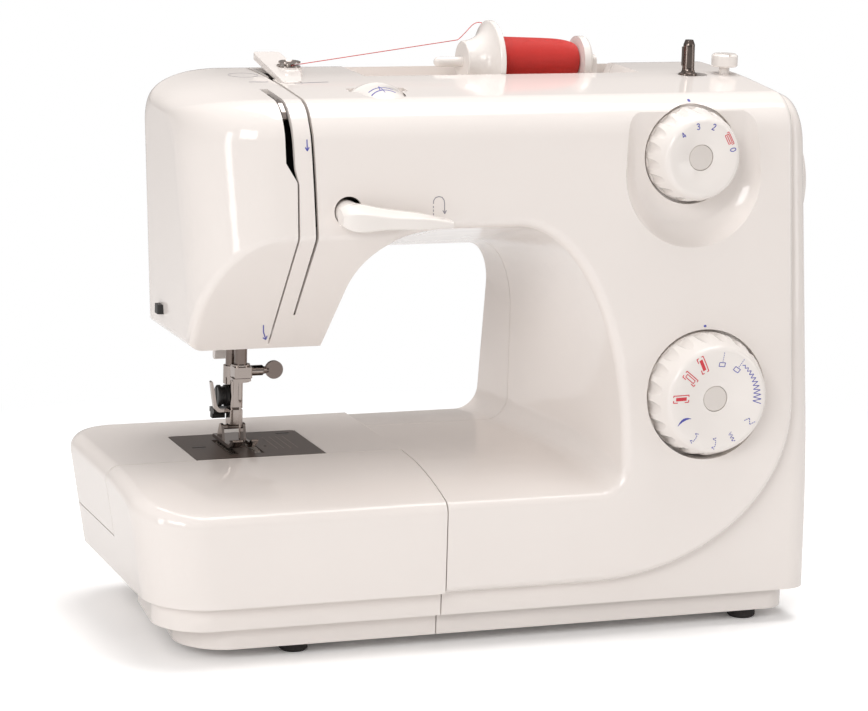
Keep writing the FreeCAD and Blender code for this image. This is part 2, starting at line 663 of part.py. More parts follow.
def extension_table(outer, inner):
    right = BED_SEAM_X - SEAM
    back = BED_SEAM_Y - SEAM
    leg = ARM_STEP_X - 1.3
    front_part = outer.common(block(-300, right, -200, back, COVER_BOTTOM, 200))
    leg_part = outer.common(block(-300, leg, back - 1, 200, COVER_BOTTOM, ARM_STEP_Z - SEAM))
    front = FRONT_Y + BAND_STEP
    upper_band = prism_z(band_outline(UPPER_BAND_LEFT, front), BAND_Z, COVER_BOTTOM, [24, 0, 0, 0])
    lower_band = prism_z(band_outline(LOWER_BAND_LEFT, front + BAND_STEP), BASE_Z, BAND_Z, [24, 0, 0, 0])
    table = joined([front_part, leg_part, upper_band, lower_band])
    front += BAND_STEP + WALL
    left = LOWER_BAND_LEFT + 5
    room = prism_z([(left, front), (0, front), (0, 0), (left + 10, 0)], BASE_Z + WALL, COVER_BOTTOM + WALL,
                   [20, 0, 0, 0])
    upper_room = inner.common(block(-300, 0, -200, 0, COVER_BOTTOM + WALL, 200))
    leg_room = inner.common(block(-300, leg - WALL, -1, BACK_Y - 20, COVER_BOTTOM + WALL,
                                  ARM_STEP_Z - SEAM - WALL))
    return largest(table.cut(room).cut(upper_room).cut(leg_room))


def base_tray():
    right = BODY_RIGHT - BAND_STEP
    front = FRONT_Y + 2 * BAND_STEP
    back = BACK_Y - 9
    plan = [(-153, -4), (BED_SEAM_X, -4), (BED_SEAM_X, front), (right, front), (right, back), (-153, back)]
    arm_plan = [(-153, -4), (BED_SEAM_X, -4), (BED_SEAM_X, back), (-153, back)]
    tray = prism_z(plan, BASE_Z, BAND_Z, [8, 0, 0, 12, 12, 16])
    tray = tray.fuse(prism_z(arm_plan, BAND_Z, COVER_BOTTOM, [8, 0, 0, 16]))
    room = [(-153 + WALL, -4 + WALL), (BED_SEAM_X + WALL, -4 + WALL), (BED_SEAM_X + WALL, front + WALL),
            (right - WALL, front + WALL), (right - WALL, back - WALL), (-153 + WALL, back - WALL)]
    tray = tray.cut(prism_z(room, BASE_Z + WALL, 40, [6, 0, 0, 10, 10, 14]))
    return largest(tray)


def foot(x, y):
    return turned([(0, 0), (6, 0), (7, 1), (7, BASE_Z), (0, BASE_Z)], (x, y, 0), (0, 0, 1))


def rubber_feet():
    return Part.makeCompound([foot(135, -52), foot(135, 64), foot(-22, 10), foot(-125, 45)])


def table_feet():
    return Part.makeCompound([foot(-101, -50), foot(-139, -19)])


def needle_plate():
    plate = prism_z(needle_plate_outline(0), BED_Z - PLATE_THICK, BED_Z, [2, 2, 3, 2])
    slot = prism_z([(NEEDLE_X - 4, NEEDLE_Y - 1.2), (NEEDLE_X + 4, NEEDLE_Y - 1.2),
                    (NEEDLE_X + 4, NEEDLE_Y + 1.2), (NEEDLE_X - 4, NEEDLE_Y + 1.2)], 60, 120, [1.1] * 4)
    plate = plate.cut(slot)
    for x in FEED_ROWS:
        plate = plate.cut(block(x - 2.4, x + 2.4, 1.6, 33.4, 60, 120))
    for x, y in PLATE_SCREWS:
        plate = plate.cut(rod((x, y, 60), (x, y, 120), 2.0))
        plate = plate.cut(Part.makeCone(2.0, 3.6, 1.4, FreeCAD.Vector(x, y, BED_Z - 1.4)))
    x, y = PLATE_MARK
    return plate.cut(rod((x, y, 60), (x, y, 120), 0.8))


def needle_plate_screws():
    screws = []
    for x, y in PLATE_SCREWS:
        head = Part.makeCone(1.9, 3.5, 1.4, FreeCAD.Vector(x, y, BED_Z - 1.4))
        shank = rod((x, y, BED_Z - 6), (x, y, BED_Z - 1.2), 1.9)
        slot = block(x - 4, x + 4, y - 0.4, y + 0.4, BED_Z - 0.8, BED_Z + 1)
        screws.append(head.fuse(shank).cut(slot))
    return Part.makeCompound(screws)


# Controls


def front_dial(centre, radius, face_r, floor_y, face_y, flutes, shaft_end):
    """Control dial: tapered fluted grip out of its pocket, dished face and a shaft into the body."""
    x, z = centre
    deep = floor_y - face_y
    root = 0.35
    skirt = deep - 15.0
    flank = [(radius, skirt), (radius - 0.3, skirt + 3), (face_r + 1.8, deep - 3.2),
             (face_r + 0.6, deep - 1.0), (face_r - 1.2, deep)]
    dish = [(face_r - 1.2, deep), (face_r * 0.72, deep - 0.6), (face_r * 0.5, deep - 1.9), (6.4, deep - 2.9)]
    body = revolved([[(0, root), (radius, root)], [(radius, root), (radius, skirt)], flank, dish,
                     [(6.4, deep - 2.9), (0, deep - 2.9)], [(0, deep - 2.9), (0, root)]],
                    (x, floor_y, z), (0, -1, 0))
    bites = []
    for i in range(flutes):
        turn = 2 * pi * (i + 0.5) / flutes
        bite = pi * radius / flutes
        away = bite * 1.1
        low = radius + away - 1.15
        high = face_r + 2.2 + away
        way = (cos(turn), sin(turn))
        bites.append(rod((x + low * way[0], floor_y - skirt + 1.5, z + low * way[1]),
                         (x + high * way[0], face_y + 1.0, z + high * way[1]), bite * 1.1))
    shaft = rod((x, floor_y - 2, z), (x, shaft_end, z), DIAL_SHAFT_R)
    seat = rod((x, face_y - 1, z), (x, face_y + 7.0, z), 6.4)
    return joined([body.cut(Part.makeCompound(bites)), shaft]).cut(seat)


def dial_cap(centre, face_y):
    x, z = centre
    return turned([(0, -7.0), (6.25, -7.0), (6.25, -3.5), (5.9, -3.1), (0, -3.0)], (x, face_y, z), (0, -1, 0))


def reverse_lever():
    """Lever on a round hub: a bar with a slanting top that thins towards its free end."""
    x, z = LEVER_PIVOT
    wires = []
    for along, low, edge, high, front in ((-6.6, -3.6, 0.6, 3.4, -74.5), (-3.0, -5.9, 2.2, 5.6, -77.6),
                                          (12.0, -6.0, 0.8, 3.6, -78.0), (26.0, -6.2, -0.4, 1.4, -77.6),
                                          (38.0, -6.4, -1.5, -0.7, -77.0), (47.5, -6.6, -3.2, -2.9, -75.5)):
        corners = [FreeCAD.Vector(x + along, -66.5, z + low), FreeCAD.Vector(x + along, front, z + low),
                   FreeCAD.Vector(x + along, front, z + edge), FreeCAD.Vector(x + along, -70.0, z + high),
                   FreeCAD.Vector(x + along, -66.5, z + high)]
        wires.append(rounded_wire(corners, [0.8, 1.4, 1.4, 1.0, 0.8]))
    arm = Part.makeLoft(wires, True, False)
    hub = rod((x, -48, z), (x, -71, z), LEVER_HUB_R)
    return hub.fuse(arm).removeSplitter()


def tension_form(grow, bore):
    """Thumbwheel with a broad bevelled rim, grown all round by the given amount."""
    r, front, width = TENSION_DIAL_R + grow, TENSION_FRONT_R + grow, TENSION_WIDTH + grow
    rim = [(front, 0.6 - grow), (front + 2.2, 4.5 - grow), (r - 1.4, 12.5 - grow), (r, width - 3.0)]
    return revolved([[(bore, -grow), (front - 0.8, -grow)], [(front - 0.8, -grow), (front, 0.6 - grow)], rim,
                     [(r, width - 3.0), (r - 0.4, width)], [(r - 0.4, width), (bore, width)],
                     [(bore, width), (bore, -grow)]], TENSION_DIAL, (0, 1, 0))


def tension_dial():
    return tension_form(0, 3.05)


def tension_unit():
    """Spring-loaded disc pair and its post behind the tension dial, hung from the casting."""
    x, y, z = TENSION_DIAL
    post = rod((x, y - 3, z), (x, 34, z), 3.0)
    discs = []
    for i in range(3):
        start = y + TENSION_WIDTH + 6 + 2.4 * i
        discs.append(turned([(3, 0), (11, 0.5), (12, 1.2), (3, 1.2)], (x, start, z), (0, 1, 0)))
    return joined([post] + discs)


def take_up_lever():
    """Take-up lever whose hooked tip lies just under the top of its slot."""
    y, z = TAKE_UP
    hub = rod((-116, y, z), (-104, y, z), 5.0)
    bore = rod((-120, y, z), (-100, y, z), 2.5 + SHAFT_FIT)
    arm = prism_x([(y - 4, z - 2), (y + 2.5, z + 2), (-36.0, 263.2), (-42.5, 262.4), (-48.8, 258.8), (-50.6, 255.8),
                   (-48.8, 254.6), (-45.6, 255.8), (-41.0, 254.6)], -111.4, -109.4, [1, 1, 2, 6, 2, 0.6, 0.6, 3, 4])
    eye = rod((-115, -46.0, 258.2), (-105, -46.0, 258.2), 0.9)
    return hub.fuse(arm).cut(bore).cut(eye).removeSplitter()


def handwheel():
    rim = turned([(6.0, 161.3), (14, 161.3), (25, 162.6), (28.6, 163.6), (30, 166), (30, 173.5), (28, 176.8),
                  (24, 178.2), (21.5, 177.6), (20, 174), (15.2, 174), (15.2, 170), (6.0, 170)],
                 (0, MAIN_Y, MAIN_Z), (1, 0, 0))
    flutes = []
    for i in range(30):
        turn = 2 * pi * i / 30
        y = MAIN_Y + 30.9 * cos(turn)
        z = MAIN_Z + 30.9 * sin(turn)
        flutes.append(rod((158, y, z), (183, y, z), 1.6))
    return rim.cut(Part.makeCompound(flutes))


def handwheel_cap():
    return turned([(0, 170), (15, 170), (15, 177.6), (13.5, 179), (0, 179)], (0, MAIN_Y, MAIN_Z), (1, 0, 0))


# Top fittings

def winder_spindle():
    x, y = WINDER_X, WINDER_Y
    spindle = turned([(0, 255), (4.6, 255), (4.6, 267.6), (3.6, 268.2), (3.1, 269.4), (2.9, 282.0),
                      (2.0, 284.4), (0, 284.4)], (x, y, 0), (0, 0, 1))
    clip = block(x - 3.7, x - 2.4, y - 0.5, y + 0.5, 271.5, 281)
    return spindle.fuse(clip).removeSplitter()


def winder_carriage():
    """Sliding block under the top that carries the winder spindle."""
    x, y = WINDER_X, WINDER_Y
    slide = block(x - 8, x + 8, y - 8, y + 8, 250, 261)
    return slide.cut(rod((x, y, 240), (x, y, 270), 4.6 + SHAFT_FIT))


def bobbin_stopper():
    x, y = STOPPER
    base = top_height(y)
    post = turned([(0, base - 2.3), (2.6, base - 2.3), (2.6, base + 3.3), (6.0, base + 3.3), (6.6, base + 3.9), (6.6, base + 8.8),
                   (5.6, base + 9.8), (0, base + 9.8)], (x, y, 0), (0, 0, 1))
    post = post.cut(block(x - 8, x + 8, y - 0.6, y + 0.6, base + 8.8, base + 12))
    return post.cut(block(x - 0.6, x + 0.6, y - 8, y + 8, base + 8.8, base + 12))


def spool_pin():
    y, z = SPOOL_Y, SPOOL_Z
    pin = rod((PIN_TIP, y, z), (78, y, z), PIN_R)
    tip = Part.makeSphere(PIN_R, FreeCAD.Vector(PIN_TIP, y, z))
    post = prism_x([(y - 8, WELL_FLOOR), (y + 8, WELL_FLOOR), (y + 4.5, z + 3), (y - 4.5, z + 3)], 74.6, 79, [0, 0, 3, 3])
    return joined([pin, tip, post])


def spool_cap():
    """Trumpet-shaped cap pushed on the pin against the spool."""
    length = CAP_RIGHT - CAP_LEFT
    horn = [(10.4, 0.5), (11.0, 4.0), (12.8, 8.0), (16.6, 11.6), (20.0, 13.2)]
    return revolved([[(PIN_R, 0), (10.0, 0)], [(10.0, 0), (10.4, 0.5)], horn, [(20.0, 13.2), (20.4, 13.8)],
                     [(20.4, 13.8), (20.4, length - 0.5)], [(20.4, length - 0.5), (20.0, length)],
                     [(20.0, length), (PIN_R, length)], [(PIN_R, length), (PIN_R, 0)]],
                    (CAP_LEFT, SPOOL_Y, SPOOL_Z), (1, 0, 0))


def spool_core():
    bore = PIN_R + SHAFT_FIT
    return turned([(bore, SPOOL_LEFT), (11.0, SPOOL_LEFT), (11.0, SPOOL_LEFT + 2), (5.5, SPOOL_LEFT + 2.5), (5.5, 68.8),
                   (12.2, 69.6), (12.2, 72.9), (11.4, SPOOL_RIGHT), (bore, SPOOL_RIGHT)], (0, SPOOL_Y, SPOOL_Z), (1, 0, 0))


def pack_radius(x):
    """Radius of the wound thread along the spool: it tapers and rolls off at the right."""
    share = (x - WOUND_LEFT) / (WOUND_RIGHT - WOUND_LEFT)
    return 11.2 - 1.6 * share - 2.4 * share ** 8


def thread_pack():
    """Plain core of wound thread under the outer layer of turns."""
    steps = 12
    profile = [(5.5, WOUND_LEFT)]
    for i in range(steps + 1):
        x = WOUND_LEFT + (WOUND_RIGHT - WOUND_LEFT) * i / steps
        profile.append((pack_radius(x) - 0.1, x))
    profile.append((5.5, WOUND_RIGHT))
    return turned(profile, (0, SPOOL_Y, SPOOL_Z), (1, 0, 0))


def arc_between(start, control, end):
    """Circular arc from start to end whose end tangents meet at control."""
    weight = (end - start).Length / (2 * (control - start).Length)
    middle = (start + control * (2 * weight) + end) * (1 / (2 + 2 * weight))
    return Part.Arc(start, middle, end).toShape()


def biarc(start, start_way, end, end_way):
    """Two tangent arcs that leave start along start_way and arrive at end along end_way."""
    chord = end - start
    ways = start_way + end_way
    a = ways.dot(ways) - 4
    b = -2 * chord.dot(ways)
    c = chord.dot(chord)
    reach = (-b - sqrt(b * b - 4 * a * c)) / (2 * a)
    if reach < 0:
        reach = (-b + sqrt(b * b - 4 * a * c)) / (2 * a)
    first = start + start_way * reach
    second = end - end_way * reach
    meet = (first + second) * 0.5
    return [arc_between(start, first, meet), arc_between(meet, second, end)]


def winding_point(turn):
    """Point of the wound strand's middle line after the given number of turns."""
    margin = 1.4
    x = WOUND_LEFT + margin + (WOUND_RIGHT - WOUND_LEFT - 2 * margin) * turn / TURNS
    r = pack_radius(x) + STRAND_R
    angle = 2 * pi * turn
    return FreeCAD.Vector(x, SPOOL_Y + r * cos(angle), SPOOL_Z + r * sin(angle))


def thread_winding():
    """One unbroken strand wound round the thread pack in quarter-turn arcs."""
    small = 1e-4
    knots = [i / 4 for i in range(4 * TURNS + 1)]
    points = [winding_point(t) for t in knots]
    ways = [(winding_point(t + small) - winding_point(t - small)).normalize() for t in knots]
    edges = []
    for i in range(len(knots) - 1):
        edges += biarc(points[i], ways[i], points[i + 1], ways[i + 1])
    path = Part.Wire(edges)
    circle = Part.Wire(Part.makeCircle(STRAND_R, points[0], ways[0]))
    shell = Part.BRepOffsetAPI.MakePipeShell(path)
    shell.add(circle)
    shell.build()
    shell.makeSolid()
    gap = min((winding_point(t + 1) - winding_point(t)).Length for t in knots[:-4]) - 2 * STRAND_R
    print("least gap between thread turns %.2f mm" % gap)
    return Part.makeCompound([shell.shape().Solids[0], thread_pack()])


def tube_path(points):
    """Straight runs joined by tangent arcs as large as the runs allow."""
    corners = [FreeCAD.Vector(*p) for p in points]
    edges = []
    last = corners[0]
    for before, corner, after in zip(corners, corners[1:], corners[2:]):
        to_last = (before - corner).normalize()
        to_next = (after - corner).normalize()
        half = acos(to_last.dot(to_next)) / 2
        reach = 0.45 * min((before - corner).Length, (after - corner).Length)
        start = corner + to_last * reach
        end = corner + to_next * reach
        edges.append(Part.LineSegment(last, start).toShape())
        edges.append(arc_between(start, corner, end))
        print("thread bend radius %.1f mm" % (reach * tan(half)))
        last = end
    edges.append(Part.LineSegment(last, corners[-1]).toShape())
    return Part.Wire(edges)


def upper_thread():
    """The taut thread from the spool over the cap to the guide."""
    path = tube_path(THREAD_ROUTE)
    start = FreeCAD.Vector(*THREAD_ROUTE[0])
    way = FreeCAD.Vector(*THREAD_ROUTE[1]) - start
    shell = Part.BRepOffsetAPI.MakePipeShell(path)
    shell.add(Part.Wire(Part.makeCircle(THREAD_R, start, way)))
    shell.build()
    shell.makeSolid()
    tube = shell.shape().Solids[0]
    print("thread %.1f mm long, volume over section times length %.3f"
          % (path.Length, tube.Volume / (pi * THREAD_R ** 2 * path.Length)))
    return tube


def guide_disc():
    """Polished disc pair on the thread guide's boss, with the groove that the thread runs in."""
    return turned([(0, -1.6), (4.0, -1.6), (4.0, 0.1), (5.4, 0.1), (5.4, 0.6), (2.6, 0.7), (2.6, 1.9), (5.4, 2.0),
                   (5.4, 2.7), (4.6, 3.0), (3.4, 2.3), (0, 2.3)], GUIDE_DISC, (0, 0, 1))


def thread_cutter():
    return prism_z([(-144.5, 22), (-149.6, 23), (-149.6, 29), (-144.5, 30)], 151.3, 155.9, [0, 1, 1, 0])


def carry_handle():
    """Folding bow that hangs along the leaning rear wall, with its two hinge pins."""
    left, right = HANDLE_LEFT + 0.5, HANDLE_RIGHT - 0.5
    y, z = HANDLE_Y, HANDLE_Z
    drop = 46.0
    bow = prism_y([(left, z + 5), (left, z - drop), (right, z - drop), (right, z + 5), (right - 8, z + 5),
                   (right - 8, z - drop + 13), (left + 8, z - drop + 13), (left + 8, z + 5)],
                  y - 4.5, y + 4.5, [4, 12, 12, 4, 3, 6, 6, 3])
    bow.rotate(FreeCAD.Vector(0, y, z), FreeCAD.Vector(1, 0, 0), 9)
    pins = [rod((HANDLE_LEFT - 4.8, y, z), (left + 2, y, z), 2.5), rod((right - 2, y, z), (HANDLE_RIGHT + 4.8, y, z), 2.5)]
    return joined([bow] + pins)


# Needle and presser group


def needle_bar():
    return rod((NEEDLE_X, NEEDLE_Y, 118), (NEEDLE_X, NEEDLE_Y, BAR_TOP), BAR_R)


def needle_clamp():
    x, y, z = NEEDLE_X, NEEDLE_Y, CLAMP_Z
    body = prism_z([(x - 4.6, y - 6.0), (x + 4.4, y - 6.0), (x + 4.4, y + 4.6), (x - 4.6, y + 4.6)], 120.4, 125.8, [1, 1, 3, 3])
    collar = turned([(BAR_R, 118), (4.6, 118), (4.6, 126.6), (BAR_R, 126.6)], (x, y, 0), (0, 0, 1))
    barrel = rod((x + 3.6, y, z), (x + 11.0, y, z), 2.6)
    plate = prism_z([(x - 5.4, y - 6.6), (x + 3.6, y - 6.6), (x + 3.6, y), (x - 5.4, y)], 119.0, 120.4, [0.8] * 4)
    whole = joined([body, collar, barrel, plate])
    whole = whole.cut(rod((x, y, 117.9), (x, y, 130), BAR_R))
    return largest(whole.cut(rod((x + 4.0, y, z), (x + 12, y, z), 1.5 + SHAFT_FIT)))


def needle_clamp_screw():
    x, y, z = NEEDLE_X, NEEDLE_Y, CLAMP_Z
    shank = rod((x + 4.2, y, z), (x + 14.0, y, z), 1.5)
    paddle = rod((x + 17.0, y - 1.0, z), (x + 17.0, y + 1.0, z), 4.5)
    neck = Part.makeCone(2.1, 1.4, 2.2, FreeCAD.Vector(x + 11.4, y, z), FreeCAD.Vector(1, 0, 0))
    return joined([shank, neck, paddle])


def needle():
    x, y = NEEDLE_X, NEEDLE_Y
    return turned([(0, 87.0), (0.15, 87.2), (0.45, 89.5), (0.45, 107), (1.0, 109), (1.0, 117.9), (0, 117.9)],
                  (x, y, 0), (0, 0, 1))


def presser_bar():
    return rod((NEEDLE_X, PRESSER_Y, 114), (NEEDLE_X, PRESSER_Y, 236), BAR_R)


def presser_foot_holder():
    """Shank clamped on the presser bar, with the ankle, the lug of the release lever and a thread finger."""
    left, right = ANKLE_X
    pin_y, pin_z = FOOT_PIN
    pivot_y, pivot_z = RELEASE
    shank = prism_z([(left, PRESSER_Y - 5.5), (right, PRESSER_Y - 5.5), (right, PRESSER_Y + 5.5), (left, PRESSER_Y + 5.5)],
                    102, 121, [1.5] * 4)
    collar = rod((NEEDLE_X, PRESSER_Y, 114), (NEEDLE_X, PRESSER_Y, 123), 4.2)
    ankle = block(left - 1.2, right - 1.2, pin_y - 3.5, pin_y + 3.5, 94.6, 102)
    hook = block(left - 1.2, right - 1.2, pin_y + 1.6, pin_y + 3.5, 91.5, 96)
    lug = block(-110.6, -107.6, pin_y + 2, pivot_y + 2.2, pivot_z - 2.2, pivot_z + 2.2)
    finger = prism_y([(left + 1, 101.6), (-116.4, 101.6), (-118.0, 104), (-119.0, 110), (-120.2, 116), (-121.2, 115.6),
                      (-120.3, 109), (-119.2, 102), (-117.2, 100.2), (left + 1, 100.2)], pin_y + 1.2, pin_y + 4.2,
                     [0, 2, 3, 6, 0.4, 0.4, 6, 3, 2, 0])
    whole = joined([shank, collar, ankle, hook, finger, lug])
    whole = whole.cut(rod((NEEDLE_X, PRESSER_Y, 114), (NEEDLE_X, PRESSER_Y, 130), BAR_R))
    whole = whole.cut(rod((-125, pivot_y, pivot_z), (-100, pivot_y, pivot_z), 1.3 + SHAFT_FIT))
    return largest(whole.cut(rod((left - 3, PRESSER_Y, ANKLE_SCREW_Z), (right - 1, PRESSER_Y, ANKLE_SCREW_Z), 1.8 + SHAFT_FIT)))


def ankle_screw():
    x, z = ANKLE_X[0], ANKLE_SCREW_Z
    shank = rod((x + 4.5, PRESSER_Y, z), (x - 2, PRESSER_Y, z), 1.8)
    head = turned([(0, 0.35), (5.4, 0.35), (5.4, 1.6), (4.6, 2.0), (4.6, 3.6), (5.4, 4.0), (5.4, 5.2), (4.8, 5.7), (0, 5.7)],
                  (x, PRESSER_Y, z), (-1, 0, 0))
    slot = block(x - 6, x - 4.4, PRESSER_Y - 0.6, PRESSER_Y + 0.6, z - 6, z + 6)
    return joined([shank, head]).cut(slot)


def foot_release_lever():
    """Black lever behind the ankle, turning on its own pin."""
    y, z = RELEASE
    pin = rod((-118.4, y, z), (-104.8, y, z), 1.3)
    left = block(-118.4, -111.0, y - 0.6, y + 6.3, z - 1.2, z + 1.2)
    right = block(-107.2, -104.8, y - 0.6, y + 6.3, z - 1.2, z + 1.2)
    bridge = block(-118.4, -104.8, y + 3.3, y + 6.3, z - 1.2, z + 1.2)
    tail = block(-118.0, -111.4, y + 2.6, y + 6.3, z - 4.2, z - 1.6)
    web = block(-116.0, -112.0, y + 3.6, y + 6.0, z - 2.0, z - 1.0)
    return joined([pin, left, right, bridge, tail, web])


def presser_foot():
    """Sole with two turned-up toes, a wider one on the left, and the pin between its cheeks."""
    x = NEEDLE_X
    left, right = x - 7.4, x + 5.6
    pin_y, pin_z = FOOT_PIN
    low = BED_Z + 1.1
    profile = [(1.6, low + 4.8), (2.4, low + 5.6), (9.5, low + 1.8), (36, low + 1.8), (37, low), (8.5, low)]
    sole = prism_x(profile, left, right, [0.3, 0.3, 6, 0.4, 0.4, 7])
    gap = prism_z([(x - 2.2, -20), (x + 2.2, -20), (x + 2.2, 9), (x + 4.3, 12), (x + 4.3, 18.5),
                   (x - 4.6, 18.5), (x - 4.6, 12), (x - 2.2, 9)], 80, 96, [0, 0, 1, 1, 1.2, 1.2, 1, 1])
    cheeks = []
    for cheek in (left + 0.5, right - 1.5):
        cheeks.append(prism_x([(pin_y - 4, low + 1), (pin_y + 6, low + 1), (pin_y + 1.8, pin_z + 1.8),
                               (pin_y - 1.8, pin_z + 1.8)], cheek, cheek + 1.3, [0, 0, 1.7, 1.7]))
    pin = rod((left + 0.7, pin_y, pin_z), (right - 0.4, pin_y, pin_z), 1.2)
    return joined([sole.cut(gap)] + cheeks + [pin])


def foot_lifter():
    y, z = LIFTER
    arm = prism_x([(y - 3, z + 4), (y + 3, z + 4), (y + 3.5, z - 16), (y + 5, z - 31), (y + 1, z - 31.7), (y - 3, z - 14)],
                  -112, -105, [2, 2, 6, 2, 2, 6])
    return arm.cut(rod((-120, y, z), (-95, y, z), 2.5 + SHAFT_FIT))


# Feed and hook

def feed_carrier():
    """Frame under the feed dog, with room for the dog to sink into it."""
    bar = block(-121, -98, 0, 36, 73.0, 76.2)
    tail = block(-114, -105, 34, 46, 70, 76.2)
    carrier = joined([bar, tail]).cut(block(-113, -106, 10, 20, 60, 90))
    for x in FEED_ROWS:
        carrier = carrier.cut(block(x - 2.0, x + 2.0, 4.1, 30.9, 60, 90))
    return largest(carrier.cut(block(-118.0, -101.0, 23.6, 30.9, 60, 90)))


def feed_dog():
    rows = []
    for x in FEED_ROWS:
        row = block(x - 1.6, x + 1.6, 4.5, 30.5, 76.6, BED_Z - 0.6)
        teeth = []
        for i in range(9):
            y = 5.5 + 2.6 * i
            teeth.append(prism_x([(y, BED_Z - 0.8), (y + 2.2, BED_Z - 0.8), (y + 2.0, BED_Z + 0.3)], x - 1.6, x + 1.6))
        rows += [row] + teeth
    cross = block(-117.6, -101.4, 24, 30.5, 76.6, 79.5)
    return joined(rows + [cross])


def shuttle_race():
    ring = turned([(18.3, 2), (20.5, 2), (20.5, 24), (5.0, 24), (5.0, 22), (18.3, 22)], (NEEDLE_X, 0, HOOK_Z), (0, 1, 0))
    arm = block(NEEDLE_X - 8, NEEDLE_X + 8, 24, 34, HOOK_Z - 20, HOOK_Z - 8)
    gap = block(NEEDLE_X - 3, NEEDLE_X + 3, 10, 20, HOOK_Z + 10, HOOK_Z + 30)
    return largest(joined([ring, arm]).cut(gap))


def shuttle_hook():
    """Crescent hook with its driver shaft."""
    ring = turned([(12.4, 5), (17.9, 5), (17.9, 17), (12.4, 17)], (NEEDLE_X, 0, HOOK_Z), (0, 1, 0))
    notch = prism_y([(NEEDLE_X - 2, HOOK_Z), (NEEDLE_X + 30, HOOK_Z + 2), (NEEDLE_X + 30, HOOK_Z + 30), (NEEDLE_X + 8, HOOK_Z + 30)],
                    0, 20)
    disc = turned([(0, 17), (16, 17), (16, 19.5), (0, 19.5)], (NEEDLE_X, 0, HOOK_Z), (0, 1, 0))
    shaft = rod((NEEDLE_X, 19, HOOK_Z), (NEEDLE_X, 39, HOOK_Z), 4.0)
    return joined([ring.cut(notch), disc, shaft])


def bobbin_case():
    cup = turned([(0, 3.2), (12.0, 3.2), (12.0, 16.4), (11.1, 16.4), (11.1, 4.4), (0, 4.4)], (NEEDLE_X, 0, HOOK_Z), (0, 1, 0))
    latch = block(NEEDLE_X - 6, NEEDLE_X + 6, 1.6, 3.4, HOOK_Z - 2.5, HOOK_Z + 2.5)
    post = rod((NEEDLE_X, 4, HOOK_Z), (NEEDLE_X, 15.5, HOOK_Z), 2.8)
    return joined([cup, latch, post])


def bobbin():
    return turned([(2.8 + SHAFT_FIT, 4.8), (10.2, 4.8), (10.2, 5.8), (4.2, 5.8), (4.2, 14.2), (10.2, 14.2), (10.2, 15.2),
                   (2.8 + SHAFT_FIT, 15.2)], (NEEDLE_X, 0, HOOK_Z), (0, 1, 0))


# Drive


def main_shaft():
    shaft = rod((-93, MAIN_Y, MAIN_Z), (170, MAIN_Y, MAIN_Z), MAIN_R)
    crank = rod((-99, MAIN_Y, MAIN_Z), (-92, MAIN_Y, MAIN_Z), 14)
    pulley = rod((BELT_X - 6, MAIN_Y, MAIN_Z), (BELT_X + 6, MAIN_Y, MAIN_Z), PULLEY_R)
    drive = rod((MOTOR_X - 4, MAIN_Y, MAIN_Z), (MOTOR_X + 4, MAIN_Y, MAIN_Z), DRIVE_R)
    return joined([shaft, crank, pulley, drive])


def lower_shaft():
    shaft = rod((-86, LOWER_Y, LOWER_Z), (124, LOWER_Y, LOWER_Z), LOWER_R)
    pulley = rod((BELT_X - 6, LOWER_Y, LOWER_Z), (BELT_X + 6, LOWER_Y, LOWER_Z), PULLEY_R)
    cam = rod((-84, LOWER_Y, LOWER_Z), (-74, LOWER_Y, LOWER_Z), 9)
    return joined([shaft, pulley, cam])


def belt_loop(x, half_width, upper, lower, thick):
    """Closed belt round two pulleys, given as (y, z, radius)."""
    (y0, z0, r0), (y1, z1, r1) = upper, lower
    dy, dz = y1 - y0, z1 - z0
    span = sqrt(dy * dy + dz * dz)
    lean = acos((r0 - r1) / span)

    def outline(extra):
        base = FreeCAD.Vector(0, dy / span, dz / span)
        side = FreeCAD.Vector(0, -base.z, base.y)
        left = base * cos(lean) + side * sin(lean)
        right = base * cos(lean) - side * sin(lean)
        top = FreeCAD.Vector(x - half_width, y0, z0)
        low = FreeCAD.Vector(x - half_width, y1, z1)
        a, b = r0 + extra, r1 + extra
        edges = [
            Part.Arc(top + left * a, top - base * a, top + right * a).toShape(),
            Part.makeLine(top + right * a, low + right * b),
            Part.Arc(low + right * b, low + base * b, low + left * b).toShape(),
            Part.makeLine(low + left * b, top + left * a),
        ]
        return Part.Face(Part.Wire(edges)).extrude(FreeCAD.Vector(2 * half_width, 0, 0))

    return outline(RUN + thick).cut(outline(RUN))


def timing_belt():
    return belt_loop(BELT_X, 4.5, (MAIN_Y, MAIN_Z, PULLEY_R), (LOWER_Y, LOWER_Z, PULLEY_R), 1.8)


def motor_belt():
    return belt_loop(MOTOR_X, 3.0, (MAIN_Y, MAIN_Z, DRIVE_R), (MOTOR_Y, MOTOR_Z, MOTOR_R), 2.0)


def motor():
    body = rod((74, MOTOR_Y, MOTOR_Z), (102, MOTOR_Y, MOTOR_Z), 23)
    nose = rod((102, MOTOR_Y, MOTOR_Z), (105, MOTOR_Y, MOTOR_Z), 9)
    mount = rod((70, MOTOR_Y, MOTOR_Z), (74, MOTOR_Y, MOTOR_Z), 12)
    return joined([body, nose, mount]).cut(rod((95, MOTOR_Y, MOTOR_Z), (140, MOTOR_Y, MOTOR_Z), 2.5 + SHAFT_FIT))


def motor_pulley():
    shaft = rod((96, MOTOR_Y, MOTOR_Z), (141, MOTOR_Y, MOTOR_Z), 2.5)
    wheel = rod((MOTOR_X - 4, MOTOR_Y, MOTOR_Z), (MOTOR_X + 4, MOTOR_Y, MOTOR_Z), MOTOR_R)
    return joined([shaft, wheel])


